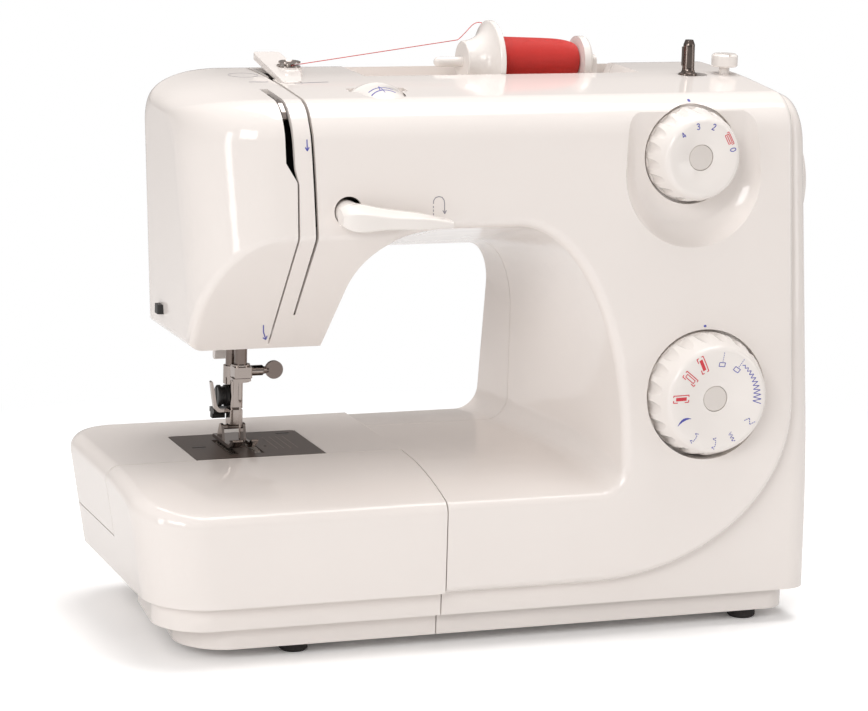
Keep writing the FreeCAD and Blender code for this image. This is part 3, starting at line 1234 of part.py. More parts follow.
def main_frame():
    """Cast frame inside the arm, column and free arm that carries every shaft, with its two lever studs."""
    plate = (34, 40)
    take_y, take_z = TAKE_UP
    lift_y, lift_z = LIFTER
    pieces = [
        block(-92, 104, *plate, 190, 243),
        block(56, 70, *plate, BASE_Z + WALL, 243),
        block(-150, 104, *plate, 38, 68),
        block(-122, -92, 37, 40, 146, 243),
        block(56, 104, -20, 70, BASE_Z + WALL, BASE_Z + WALL + 6),
        block(-63, -49, *plate, 240, 258),
        block(-121.5, -118.5, take_y - 5, 38, take_z - 5, take_z + 5),
        rod((-120, take_y, take_z), (-101, take_y, take_z), 2.5),
        block(-118, -115, 38, lift_y + 5, lift_z - 5, lift_z + 5),
        rod((-116, lift_y, lift_z), (-101, lift_y, lift_z), 2.5),
    ]
    for x in (-70, 60, 94):
        pieces.append(block(x - 5, x + 5, MAIN_Y - 11, 35, MAIN_Z - 11, MAIN_Z + 11))
    for x in (-60, 60, 94):
        pieces.append(block(x - 5, x + 5, LOWER_Y - 9, 35, LOWER_Z - 9, LOWER_Z + 9))
    for z in (152, 224):
        pieces.append(block(-119, -100, NEEDLE_Y - 6, 38, z, z + 8))
    frame = joined(pieces)
    frame = frame.cut(rod((-100, MAIN_Y, MAIN_Z), (200, MAIN_Y, MAIN_Z), MAIN_R + SHAFT_FIT))
    frame = frame.cut(rod((-100, LOWER_Y, LOWER_Z), (200, LOWER_Y, LOWER_Z), LOWER_R + SHAFT_FIT))
    frame = frame.cut(rod((NEEDLE_X, NEEDLE_Y, 140), (NEEDLE_X, NEEDLE_Y, 260), BAR_R + SHAFT_FIT))
    frame = frame.cut(rod((NEEDLE_X, PRESSER_Y, 140), (NEEDLE_X, PRESSER_Y, 260), BAR_R + SHAFT_FIT))
    frame = frame.cut(rod((NEEDLE_X, 20, HOOK_Z), (NEEDLE_X, 60, HOOK_Z), 4.0 + SHAFT_FIT))
    return largest(frame)


def power_inlet():
    y, z = INLET
    body = block(148, 163, y - 11.7, y + 11.7, z - 7.7, z + 7.7)
    body = body.cut(block(152, 164, y - 9, y + 9, z - 5, z + 5))
    pins = [rod((150, y + s, z), (160, y + s, z), 1.2) for s in (-4.5, 4.5)]
    return joined([body] + pins)


def power_switch():
    y, z = SWITCH
    rocker = prism_y([(156, z - 9.5), (162.2, z - 9.5), (164.5, z - 8.5), (162.6, z), (162.2, z + 9.5), (156, z + 9.5)],
                     y - 5.7, y + 5.7, [0, 1, 1, 12, 1, 0])
    return rocker.fuse(rod((SWITCH_PIVOT_X, y - 7.6, z), (SWITCH_PIVOT_X, y + 7.6, z), 1.0)).removeSplitter()


def cover_screws():
    """Case screws on the rear cover and under the base."""
    screws = []
    for x, z in ((-130, 222), (130, 222), (130, 60)):
        y = BACK_Y + (z - COVER_BOTTOM) * (BACK_TOP_Y - BACK_Y) / (TOP_Z - COVER_BOTTOM)
        head = rod((x, y - 2.4, z), (x, y + 0.9, z), 3.2)
        screws.append(head.cut(block(x - 4, x + 4, y + 0.2, y + 2, z - 0.4, z + 0.4)))
    return Part.makeCompound(screws)


def screw_holes(rear):
    for x, z in ((-130, 222), (130, 222), (130, 60)):
        y = BACK_Y + (z - COVER_BOTTOM) * (BACK_TOP_Y - BACK_Y) / (TOP_Z - COVER_BOTTOM)
        rear = rear.cut(rod((x, y - 2.4, z), (x, y + 10, z), 3.2))
    return rear


def build():
    parts = casing()
    parts["rear_cover"] = screw_holes(parts["rear_cover"])
    outer = bed_form(0)
    inner = bed_form(WALL)
    parts["free_arm_cover"] = free_arm_cover(outer, inner)
    parts["extension_table"] = extension_table(outer, inner)
    for make in (base_tray, rubber_feet, table_feet, hook_cover, needle_plate, needle_plate_screws, reverse_lever,
                 tension_dial, tension_unit, take_up_lever, handwheel, handwheel_cap, winder_spindle, winder_carriage,
                 bobbin_stopper, spool_pin, spool_cap, spool_core, thread_winding, upper_thread, thread_guide, guide_disc,
                 thread_cutter, needle_bar, needle_clamp, needle_clamp_screw, needle, presser_bar, presser_foot_holder,
                 ankle_screw, foot_release_lever, presser_foot, foot_lifter, feed_carrier, feed_dog,
                 shuttle_race, shuttle_hook, bobbin_case, bobbin, main_shaft, lower_shaft, timing_belt, motor_belt, motor,
                 motor_pulley, main_frame, power_inlet, power_switch,
                 cover_screws, carry_handle):
        parts[make.__name__] = make()
    parts["stitch_length_dial"] = front_dial(STITCH_DIAL, STITCH_DIAL_R, STITCH_FACE_R, STITCH_POCKET_Y, STITCH_FACE_Y, 18, -38)
    parts["stitch_dial_cap"] = dial_cap(STITCH_DIAL, STITCH_FACE_Y)
    parts["pattern_dial"] = front_dial(PATTERN_DIAL, PATTERN_DIAL_R, PATTERN_FACE_R, PATTERN_POCKET_Y, PATTERN_FACE_Y, 20, -50)
    parts["pattern_dial_cap"] = dial_cap(PATTERN_DIAL, PATTERN_FACE_Y)
    return parts


os.makedirs("parts", exist_ok=True)
for name, shape in build().items():
    print(name, shape.isValid(), len(shape.Solids), round(shape.Volume))
    shape.exportStep("parts/%s.step" % name)
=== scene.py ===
import math

import bpy
import numpy as np
from mathutils import Matrix, Vector


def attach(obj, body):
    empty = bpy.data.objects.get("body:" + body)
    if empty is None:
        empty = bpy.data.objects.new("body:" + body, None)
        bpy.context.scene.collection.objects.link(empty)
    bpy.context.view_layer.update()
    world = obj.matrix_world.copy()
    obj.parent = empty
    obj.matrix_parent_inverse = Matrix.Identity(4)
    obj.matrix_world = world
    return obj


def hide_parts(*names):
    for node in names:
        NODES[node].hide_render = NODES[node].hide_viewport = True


bl_info = {
    "name": "Free-arm sewing machine",
    "version": (1, 0, 0),
    "blender": (4, 5, 0),
    "location": "View3D > Sidebar > Sewing machine",
    "description": "Finishes, thread and printed signs of a domestic free-arm sewing machine",
    "category": "Object",
}

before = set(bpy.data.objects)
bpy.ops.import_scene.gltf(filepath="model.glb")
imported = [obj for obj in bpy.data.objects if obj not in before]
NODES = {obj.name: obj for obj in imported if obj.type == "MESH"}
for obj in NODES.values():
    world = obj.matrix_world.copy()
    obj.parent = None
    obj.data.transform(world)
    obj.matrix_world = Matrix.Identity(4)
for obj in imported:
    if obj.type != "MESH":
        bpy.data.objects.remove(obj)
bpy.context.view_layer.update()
MM = 0.001


def linear(code):
    """sRGB hex code as linear red, green, blue."""
    channels = [int(code[i:i + 2], 16) / 255 for i in (1, 3, 5)]
    return tuple(c / 12.92 if c <= 0.04045 else ((c + 0.055) / 1.055) ** 2.4 for c in channels)


# Places on the machine in millimetres, the same as in its construction; a dial's are (x, z)

STITCH_DIAL = np.array([95.4, 235.0])
PATTERN_DIAL = np.array([101.0, 119.4])
SPOOL_Y, SPOOL_Z = 32.0, 271.5
WOUND_LEFT, WOUND_RIGHT = 27.4, 68.4

# The thread's route in millimetres. Its third point is moved to clear the spool cap's rim,
# and its long straight run ends this many diameters before the first bend.

THREAD_ROUTE = [(-86.3, 15.2, 272.65), (8.8, 38.6, 281.7), (23.5, 46.3, 293.5), (28.9, 39.4, 282.8)]
BEND_LEAD = 6

# The wound thread in millimetres: radius of the pack at its left end, its taper and its roll-off to
# the right, radius of the core, bare ends, and distance from turn to turn in strands

PACK_RADIUS, PACK_TAPER, PACK_ROLL_OFF = 12.05, 1.6, 2.4
CORE_RADIUS = 5.6
BARE_END = 0.5
TURN_PITCH = 1.02
STEPS_A_TURN, STRAND_SIDES = 28, 6
BODY_RINGS, BODY_SIDES = 40, 96

# Smooth shading: facets nearer than this are joined, and edges that turn less than this are smooth

JOIN_WITHIN = 0.002 * MM
SMOOTH_ANGLE = math.radians(28)

# Ink: step along a stroke in millimetres, then in metres where the ribbons are cast from, how far
# they stand off the surface and how thick they are

STROKE_STEP = 0.4
CAST_FROM = {"Y": -0.2, "Z": 0.5}
INK_LIFT, INK_SKIN = 0.03 * MM, 0.1 * MM

# The recovered camera: picture, focal length and optical axis in pixels, angles in degrees,
# distance and target in metres, sensor in millimetres

PICTURE_WIDTH, PICTURE_HEIGHT = 868, 711
FOCAL_LENGTH = 3239.0
AXIS_ACROSS, AXIS_DOWN = 422.25, 346.83
AZIMUTH, ELEVATION, ROLL = -20.38, 11.28, 1.58
CAMERA_DISTANCE = 1.60516
CAMERA_TARGET = (-0.01875, 0.005, 0.13313)
SENSOR_WIDTH = 36.0

# Lamps: name, place, aim, width and height in metres, power in watts

LAMPS = (
    ("overhead softbox", (0.2, 0.1, 1.5), (0, 0, 0.15), (1.2, 0.8), 14.0),
    ("front softbox", (-1.35, -1.65, 1.15), (0, 0, 0.15), (1.0, 0.8), 17.0),
    ("left strip", (-1.8, -0.8, 0.5), (0, 0, 0.2), (0.3, 1.0), 5.0),
    ("right fill", (1.6, -1.0, 0.5), (0, 0, 0.15), (0.6, 0.8), 3.2),
)

# Floor in metres: half its width, and half the length and depth of the oval that shows the shadow

FLOOR_REACH, FLOOR_POINTS = 8, 5
SHADOW_LENGTH, SHADOW_DEPTH = 0.42, 0.34

# Strokes of the dial numbers, in a box 0.6 wide and 1 high

NUMBER_MIDDLE = (0.3, 0.5)
NUMBERS = {
    "4": [(0.42, 0), (0.42, 1), (0, 0.32), (0.6, 0.32)],
    "3": [(0.05, 0.88), (0.2, 1), (0.42, 0.98), (0.52, 0.8), (0.42, 0.58), (0.22, 0.52),
          (0.44, 0.46), (0.56, 0.26), (0.44, 0.04), (0.2, 0), (0.03, 0.13)],
    "2": [(0.04, 0.78), (0.14, 0.96), (0.34, 1), (0.5, 0.86), (0.48, 0.64), (0.02, 0), (0.56, 0)],
    "0": [(0.3, 1), (0.1, 0.85), (0.02, 0.5), (0.1, 0.15), (0.3, 0), (0.5, 0.15), (0.58, 0.5),
          (0.5, 0.85), (0.3, 1)],
}


class SewingMachineLook(bpy.types.PropertyGroup):
    """Colours and fine sizes that a user may want to change."""
    case_colour: bpy.props.FloatVectorProperty(
        name="Case", description="Moulded covers", subtype="COLOR", default=linear("#EBE4DF"))
    dial_colour: bpy.props.FloatVectorProperty(
        name="Dials", description="Dials and levers", subtype="COLOR", default=linear("#ECE6E1"))
    plate_colour: bpy.props.FloatVectorProperty(
        name="Needle plate", description="Stoved enamel of the needle plate", subtype="COLOR",
        default=linear("#544943"))
    thread_colour: bpy.props.FloatVectorProperty(
        name="Thread", description="Sewing thread", subtype="COLOR", default=linear("#D02C24"))
    blue_ink: bpy.props.FloatVectorProperty(
        name="Blue ink", description="Printed stitch signs", subtype="COLOR",
        default=linear("#4A4DA6"))
    red_ink: bpy.props.FloatVectorProperty(
        name="Red ink", description="Printed buttonhole signs", subtype="COLOR",
        default=linear("#CF3340"))
    strand: bpy.props.FloatProperty(
        name="Strand", description="Drawn thickness of the wound thread", default=0.3 * MM,
        unit="LENGTH")
    taut_thread: bpy.props.FloatProperty(
        name="Taut thread", description="Thickness of the thread to the guide", default=0.4 * MM,
        unit="LENGTH")


def look():
    """The settings of this scene."""
    return bpy.context.scene.sewing_machine


# Materials

def add(tree, kind, inputs=(), **settings):
    """Adds a node, sets its properties, and sets or links its inputs."""
    made = tree.nodes.new(kind)
    for name, value in settings.items():
        setattr(made, name, value)
    for name, value in dict(inputs).items():
        socket = made.inputs[name]
        if isinstance(value, bpy.types.NodeSocket):
            tree.links.new(value, socket)
        else:
            socket.default_value = value
    return made


def scaled(colour, factor):
    """Colour times a factor, no lighter than 1, with its alpha."""
    return (*[min(1.0, c * factor) for c in colour], 1)


def new_material(name, colour):
    """Principled material of that colour with its output, and its Object coordinates."""
    material = bpy.data.materials.new(name)
    material.use_nodes = True
    tree = material.node_tree
    shader = tree.nodes["Principled BSDF"]
    shader.inputs["Base Color"].default_value = (*colour, 1)
    place = add(tree, "ShaderNodeTexCoord").outputs["Object"]
    return material, tree, shader, place


def moulded_plastic(name, colour, roughness):
    """Injection-moulded ABS with a polished skin: a sharp highlight over a faint ripple of the
    tool, and a colour that drifts by a percent or so over a hand's breadth."""
    material, tree, shader, place = new_material(name, colour)
    cloud = add(tree, "ShaderNodeTexNoise",
                {"Vector": place, "Scale": 1 / (70 * MM), "Detail": 2.0})
    warm = add(tree, "ShaderNodeMix",
               {"Factor": cloud.outputs["Fac"], "A": scaled(colour, 0.975),
                "B": scaled(colour, 1.02)}, data_type="RGBA")
    tree.links.new(warm.outputs["Result"], shader.inputs["Base Color"])
    haze = add(tree, "ShaderNodeTexNoise",
               {"Vector": place, "Scale": 1 / (18 * MM), "Detail": 3.0})
    gloss = add(tree, "ShaderNodeMapRange",
                {"Value": haze.outputs["Fac"], "To Min": roughness - 0.03,
                 "To Max": roughness + 0.03})
    tree.links.new(gloss.outputs["Result"], shader.inputs["Roughness"])
    ripple = add(tree, "ShaderNodeTexNoise",
                 {"Vector": place, "Scale": 1 / (9 * MM), "Detail": 1.0})
    bump = add(tree, "ShaderNodeBump",
               {"Height": ripple.outputs["Fac"], "Strength": 0.04, "Distance": 0.1 * MM})
    tree.links.new(bump.outputs["Normal"], shader.inputs["Normal"])
    shader.inputs["IOR"].default_value = 1.5
    return material


def plated_steel(name, colour, roughness, grain_mm):
    """Nickel-plated, finely ground steel: mirror-like, with hair lines that stretch its highlights.
    The lines are drawn coarser than real ones, so that they show."""
    material, tree, shader, place = new_material(name, colour)
    shader.inputs["Metallic"].default_value = 1.0
    stretch = add(tree, "ShaderNodeMapping", {"Vector": place, "Scale": (1.0, 1.0, 12.0)})
    lines = add(tree, "ShaderNodeTexNoise",
                {"Vector": stretch.outputs["Vector"], "Scale": 1 / (grain_mm * MM), "Detail": 2.0})
    gloss = add(tree, "ShaderNodeMapRange",
                {"Value": lines.outputs["Fac"], "To Min": roughness * 0.7,
                 "To Max": roughness * 1.4})
    tree.links.new(gloss.outputs["Result"], shader.inputs["Roughness"])
    bump = add(tree, "ShaderNodeBump",
               {"Height": lines.outputs["Fac"], "Strength": 0.08, "Distance": 0.05 * MM})
    tree.links.new(bump.outputs["Normal"], shader.inputs["Normal"])
    return material


def speckled(name, colour, roughness, grain_mm, depth_mm):
    """Stoved enamel, cast metal, rubber or satin plastic: a fine grain of the given size breaks up
    the highlight and shades the colour a little."""
    material, tree, shader, place = new_material(name, colour)
    grain = add(tree, "ShaderNodeTexNoise",
                {"Vector": place, "Scale": 1 / (grain_mm * MM), "Detail": 4.0})
    shade = add(tree, "ShaderNodeMix",
                {"Factor": grain.outputs["Fac"], "A": scaled(colour, 0.8),
                 "B": scaled(colour, 1.2)}, data_type="RGBA")
    tree.links.new(shade.outputs["Result"], shader.inputs["Base Color"])
    bump = add(tree, "ShaderNodeBump",
               {"Height": grain.outputs["Fac"], "Strength": 0.3, "Distance": depth_mm * MM})
    tree.links.new(bump.outputs["Normal"], shader.inputs["Normal"])
    shader.inputs["Roughness"].default_value = roughness
    return material


def spun_thread(name, colour):
    """Mercerised cotton-polyester thread: soft sheen, and a mottle by its twist that lightens and
    darkens the colour as painted sheen and shade of the strands;
    it is drawn at half a millimetre, coarser than a real one, so that it shows."""
    material, tree, shader, place = new_material(name, colour)
    painted_sheen_and_shade = add(tree, "ShaderNodeTexNoise",
                {"Vector": place, "Scale": 1 / (0.5 * MM), "Detail": 3.0})
    # Painted sheen and shade: the mottle lightens and darkens the thread's colour as light caught
    # by its twisted strands would
    shade = add(tree, "ShaderNodeMix",
                {"Factor": painted_sheen_and_shade.outputs["Fac"], "A": scaled(colour, 0.62),
                 "B": scaled(colour, 1.25)}, data_type="RGBA")
    tree.links.new(shade.outputs["Result"], shader.inputs["Base Color"])
    shader.inputs["Roughness"].default_value = 0.55
    shader.inputs["Sheen Weight"].default_value = 0.12
    shader.inputs["Sheen Roughness"].default_value = 0.4
    return material


def ink(name, colour):
    """Pad-printed ink: thin, even and a little duller than the plastic, worn to a slight mottle."""
    return speckled(name, colour, 0.45, 1.2, 0.01)


def finish_nodes(material, names):
    """Gives the construction's pieces that material and smooth shading."""
    for name in names:
        mesh = NODES[name].data
        mesh.materials.clear()
        mesh.materials.append(material)
        smooth_round_faces(NODES[name])


# Geometry

def smoothing_group():
    """Joins the facets at their edges and shades smoothly across every shallow edge."""
    name = "smooth_round_faces"
    if name in bpy.data.node_groups:
        return bpy.data.node_groups[name]
    tree = bpy.data.node_groups.new(name, "GeometryNodeTree")
    for direction in ("INPUT", "OUTPUT"):
        tree.interface.new_socket("Geometry", in_out=direction, socket_type="NodeSocketGeometry")
    source = add(tree, "NodeGroupInput").outputs[0]
    joined = add(tree, "GeometryNodeMergeByDistance",
                 {"Geometry": source, "Distance": JOIN_WITHIN})
    faces = add(tree, "GeometryNodeSetShadeSmooth",
                {"Geometry": joined.outputs["Geometry"], "Shade Smooth": True})
    angle = add(tree, "GeometryNodeInputMeshEdgeAngle").outputs["Unsigned Angle"]
    shallow = add(tree, "FunctionNodeCompare", {"A": angle, "B": SMOOTH_ANGLE},
                  data_type="FLOAT", operation="LESS_EQUAL")
    edges = add(tree, "GeometryNodeSetShadeSmooth",
                {"Geometry": faces.outputs["Geometry"],
                 "Shade Smooth": shallow.outputs["Result"]}, domain="EDGE")
    add(tree, "NodeGroupOutput", {0: edges.outputs["Geometry"]})
    return tree


def smooth_round_faces(node):
    """Smooth shading by modifiers: flat faces keep their own normal by their larger area."""
    node.modifiers.new("smooth", "NODES").node_group = smoothing_group()
    even = node.modifiers.new("even", "WEIGHTED_NORMAL")
    even.mode = "FACE_AREA"
    even.keep_sharp = True


def grid_faces(rows, columns, wrap):
    """Quads of a grid of points, joined round in its second direction where wrap is set."""
    last = columns if wrap else columns - 1
    i, j = np.meshgrid(np.arange(rows - 1), np.arange(last), indexing="ij")
    k = (j + 1) % columns
    corners = [i * columns + j, i * columns + k, (i + 1) * columns + k, (i + 1) * columns + j]
    return np.stack(corners, -1).reshape(-1, 4)


def mesh_object(name, points, faces, material):
    """Object at the origin from an array of points in metres and a list of faces."""
    mesh = bpy.data.meshes.new(name)
    mesh.from_pydata(np.asarray(points).reshape(-1, 3).tolist(), [], faces)
    mesh.materials.append(material)
    piece = bpy.data.objects.new(name, mesh)
    bpy.context.scene.collection.objects.link(piece)
    return piece


def make_piece(name, points, faces, material, body):
    """Smooth-shaded object that rides on a body."""
    piece = mesh_object(name, points, faces, material)
    polygons = piece.data.polygons
    polygons.foreach_set("use_smooth", [True] * len(polygons))
    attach(piece, body)
    return piece


def tube_along(path, radius, sides):
    """Tube: each path point plus radius times (cos v times the normal + sin v times the binormal),
    the normal being the part of the direction from the spool's axis that is square to the path."""
    way = np.gradient(path, axis=0)
    way /= np.linalg.norm(way, axis=1, keepdims=True)
    out = path - np.array([0, SPOOL_Y, SPOOL_Z]) * MM
    out[:, 0] = 0
    out -= (out * way).sum(1, keepdims=True) * way
    out /= np.linalg.norm(out, axis=1, keepdims=True)
    side = np.cross(way, out)
    turn = np.linspace(0, 2 * np.pi, sides, endpoint=False)[None, :, None]
    rings = path[:, None] + radius * (np.cos(turn) * out[:, None] + np.sin(turn) * side[:, None])
    faces = grid_faces(len(path), sides, True).tolist()
    first = list(range(sides))
    last = [(len(path) - 1) * sides + k for k in range(sides)]
    return rings.reshape(-1, 3), faces + [first, last[::-1]]


def walk(route, start, end):
    """Points of a route of (across, up) places between two lengths along it: its own corners, and
    evenly spaced points about one stroke step apart."""
    route = np.asarray(route, float)
    run = np.concatenate([[0.0], np.cumsum(np.linalg.norm(np.diff(route, axis=0), axis=1))])
    end = min(end, run[-1])
    inside = run[(run > start) & (run < end)]
    steps = max(int((end - start) / STROKE_STEP), 1)
    s = np.concatenate([np.linspace(start, end, steps + 1), inside])
    s = np.unique(s.round(6))
    return np.stack([np.interp(s, run, route[:, 0]), np.interp(s, run, route[:, 1])], 1)


def stroke(route, width, start=0.0, end=math.inf):
    """Flat ribbon along a route in millimetres: each point of the route plus and minus half the
    width times the direction square to the route there. The width may change along it."""
    line = walk(route, start, end)
    way = np.gradient(line, axis=0)
    way /= np.linalg.norm(way, axis=1, keepdims=True)
    share = np.linspace(0, 1, len(line))
    half = np.interp(share, np.linspace(0, 1, np.size(width)), np.ravel(width)) / 2
    side = np.stack([-way[:, 1], way[:, 0]], 1) * half[:, None]
    return np.stack([line - side, line + side], 1)


def dashes(route, width, dash, gap):
    """Ribbons of one dash each along a route."""
    length = np.linalg.norm(np.diff(np.asarray(route, float), axis=0), axis=1).sum()
    starts = np.arange(0, length - 0.1, dash + gap)
    return [stroke(route, width, start, start + dash) for start in starts]


def placed(route, angle, place):
    """Route turned by the angle in degrees and moved to its place."""
    a = math.radians(angle)
    turn = np.array([[math.cos(a), math.sin(a)], [-math.sin(a), math.cos(a)]])
    return np.asarray(route, float) @ turn + np.asarray(place)


def polar(radius, angle):
    """Offset of that length at an angle in degrees from the right, or a row of them."""
    a = np.radians(angle)
    return np.stack(np.broadcast_arrays(radius * np.cos(a), radius * np.sin(a)), -1)


def printed(name, ribbons, along, target, material, body):
    """Ink on a surface: the ribbons, drawn as (x, z) or (x, y) in millimetres, are cast along +Y or
    -Z onto the target piece, and get a thin skin."""
    rows = [len(ribbon) for ribbon in ribbons]
    first = np.concatenate([[0], np.cumsum(rows)[:-1]]) * 2
    flat = np.concatenate([ribbon.reshape(-1, 2) for ribbon in ribbons]) * MM
    away = np.full(len(flat), CAST_FROM[along])
    across, up = flat[:, 0], flat[:, 1]
    points = np.stack([across, away, up] if along == "Y" else [across, up, away], 1)
    faces = np.concatenate([grid_faces(n, 2, False) + base for n, base in zip(rows, first)])
    piece = mesh_object(name, points, faces[:, ::-1].tolist(), material)
    cast = piece.modifiers.new("cast", "SHRINKWRAP")
    cast.wrap_method = "PROJECT"
    cast.wrap_mode = "ABOVE_SURFACE"
    cast.use_project_y = along == "Y"
    cast.use_project_z = along == "Z"
    cast.use_positive_direction = along == "Y"
    cast.use_negative_direction = along == "Z"
    cast.target = NODES[target]
    cast.offset = INK_LIFT
    skin = piece.modifiers.new("skin", "SOLIDIFY")
    skin.thickness = INK_SKIN
    skin.offset = 0
    view = bpy.context.evaluated_depsgraph_get()
    frozen = bpy.data.meshes.new_from_object(piece.evaluated_get(view))
    piece.modifiers.clear()
    piece.data = frozen
    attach(piece, body)


def number(sign, angle, place, height, width):
    """Ribbons of one number with its middle at a place, its top towards the angle plus 90 degrees.
    The 4 is two ribbons, because its line turns back on itself."""
    route = (np.array(NUMBERS[sign]) - NUMBER_MIDDLE) * height
    parts = [route[:2], route[1:]] if sign == "4" else [route]
    return [stroke(placed(part, angle, place), width) for part in parts]


def buttonhole(angle, place, solid):
    """Ribbons of a buttonhole sign: a bar, solid or in outline, with a bracket along one side and
    half a bracket at each end of the other."""
    bar = [(-3.0, 0), (3.0, 0)]
    outline = [(-3.0, -0.8), (3.0, -0.8), (3.0, 0.8), (-3.0, 0.8), (-3.0, -0.8)]
    brackets = ([(-4.3, 0.9), (-4.3, 1.8), (4.3, 1.8), (4.3, 0.9)],
                [(-4.3, -0.6), (-4.3, -1.7), (-2.0, -1.7)],
                [(2.0, -1.7), (4.3, -1.7), (4.3, -0.6)])
    routes = [(bar, 1.7) if solid else (outline, 0.4), *((bracket, 0.45) for bracket in brackets)]
    return [stroke(placed(route, angle, place), width) for route, width in routes]


def arrow(route, width, head):
    """Ribbons of a line with an arrow head at its end."""
    route = np.asarray(route, float)
    way = route[-1] - route[-2]
    way /= np.linalg.norm(way)
    side = np.array([-way[1], way[0]])
    tip = route[-1] + way * head * 0.4
    barb = [tip - way * head + side * head * 0.55, tip, tip - way * head - side * head * 0.55]
    return [stroke(route, width), stroke(barb[:2], width), stroke(barb[1:], width)]


def pack_radius(x):
    """Radius of the wound thread in millimetres under its last layer: it tapers evenly to the
    right, and rolls off by the eighth power of the share of its length."""
    share = (x - WOUND_LEFT) / (WOUND_RIGHT - WOUND_LEFT)
    return PACK_RADIUS - PACK_TAPER * share - PACK_ROLL_OFF * share ** 8


class SEWING_OT_stage(bpy.types.Operator):
    """Camera at the photograph's angle, pale floor and soft studio light"""
    bl_idname = "sewing.stage"
    bl_label = "Stage"

    def execute(self, context):
        scene = context.scene
        scene.view_settings.view_transform = "Standard"
        self.camera(scene)
        self.lights(scene)
        self.floor()
        return {"FINISHED"}

    def camera(self, scene):
        """Stands off the target by azimuth and elevation, rolled, and shifted to the axis."""
        azimuth, elevation, roll = (math.radians(a) for a in (AZIMUTH, ELEVATION, ROLL))
        back = Vector((math.sin(azimuth) * math.cos(elevation),
                       -math.cos(azimuth) * math.cos(elevation), math.sin(elevation)))
        right = Vector((math.cos(azimuth), math.sin(azimuth), 0))
        up = back.cross(right)
        across = right * math.cos(roll) + up * math.sin(roll)
        tall = up * math.cos(roll) - right * math.sin(roll)
        data = bpy.data.cameras.new("camera")
        data.sensor_width = SENSOR_WIDTH
        data.lens = SENSOR_WIDTH * FOCAL_LENGTH / PICTURE_WIDTH
        data.shift_x = (PICTURE_WIDTH / 2 - AXIS_ACROSS) / PICTURE_WIDTH
        data.shift_y = (AXIS_DOWN - PICTURE_HEIGHT / 2) / PICTURE_WIDTH
        camera = bpy.data.objects.new("camera", data)
        scene.collection.objects.link(camera)
        place = Vector(CAMERA_TARGET) + back * CAMERA_DISTANCE
        turn = Matrix((across, tall, back)).transposed().to_4x4()
        camera.matrix_world = Matrix.Translation(place) @ turn
        scene.camera = camera

    def lights(self, scene):
        """A world that is lighter above, white to the camera, and four area lamps."""
        world = bpy.data.worlds.new("studio")
        scene.world = world
        world.use_nodes = True
        tree = world.node_tree
        tree.nodes.clear()
        way = add(tree, "ShaderNodeTexCoord").outputs["Generated"]
        height = add(tree, "ShaderNodeSeparateXYZ", {0: way}).outputs["Z"]
        sky = add(tree, "ShaderNodeMapRange",
                  {"Value": height, "From Min": -0.1, "From Max": 0.8, "To Min": 0.16,
                   "To Max": 0.6})
        camera = add(tree, "ShaderNodeLightPath").outputs["Is Camera Ray"]
        level = add(tree, "ShaderNodeMath", {0: sky.outputs[0], 1: camera}, operation="MAXIMUM")
        shade = add(tree, "ShaderNodeBackground",
                    {"Color": (1, 0.96, 0.94, 1), "Strength": level.outputs[0]})
        add(tree, "ShaderNodeOutputWorld", {"Surface": shade.outputs["Background"]})
        for name, where, aim, size, power in LAMPS:
            data = bpy.data.lights.new(name, "AREA")
            data.shape = "RECTANGLE"
            data.size, data.size_y = size
            data.energy = power
            lamp = bpy.data.objects.new(name, data)
            scene.collection.objects.link(lamp)
            lamp.location = where
            lamp.rotation_mode = "QUATERNION"
            lamp.rotation_quaternion = (Vector(aim) - Vector(where)).to_track_quat("-Z", "Y")

    def floor(self):
        """Flat sheet of white paper: a soft shadow near the machine, that runs into white."""
        material = bpy.data.materials.new("white paper")
        material.use_nodes = True
        tree = material.node_tree
        tree.nodes.clear()
        place = add(tree, "ShaderNodeTexCoord").outputs["Object"]
        near = add(tree, "ShaderNodeMapping",
                   {"Vector": place, "Scale": (1 / SHADOW_LENGTH, 1 / SHADOW_DEPTH, 0)})
        far = add(tree, "ShaderNodeVectorMath", {0: near.outputs[0]}, operation="LENGTH")
        fade = add(tree, "ShaderNodeMapRange",
                   {"Value": far.outputs["Value"], "From Min": 1.0, "From Max": 1.5},
                   interpolation_type="SMOOTHSTEP")
        paper = add(tree, "ShaderNodeBsdfDiffuse", {"Color": (0.86, 0.86, 0.86, 1)})
        bright = add(tree, "ShaderNodeBsdfDiffuse", {"Color": (1.15, 1.15, 1.15, 1)})
        lift = add(tree, "ShaderNodeEmission", {"Color": (1, 1, 1, 1), "Strength": 0.04})
        shaded = add(tree, "ShaderNodeAddShader", {0: bright.outputs[0], 1: lift.outputs[0]})
        white = add(tree, "ShaderNodeEmission", {"Color": (1, 1, 1, 1), "Strength": 1.0})
        seen = add(tree, "ShaderNodeMixShader",
                   {0: fade.outputs[0], 1: shaded.outputs[0], 2: white.outputs[0]})
        camera = add(tree, "ShaderNodeLightPath").outputs["Is Camera Ray"]
        shown = add(tree, "ShaderNodeMixShader",
                    {0: camera, 1: paper.outputs[0], 2: seen.outputs[0]})
        add(tree, "ShaderNodeOutputMaterial", {"Surface": shown.outputs[0]})
        side = np.linspace(-FLOOR_REACH, FLOOR_REACH, FLOOR_POINTS)
        x, y = np.meshgrid(side, side)
        points = np.stack([x, y, np.zeros_like(x)], -1)
        faces = grid_faces(FLOOR_POINTS, FLOOR_POINTS, False)[:, ::-1].tolist()
        sheet = mesh_object("floor", points, faces, material)


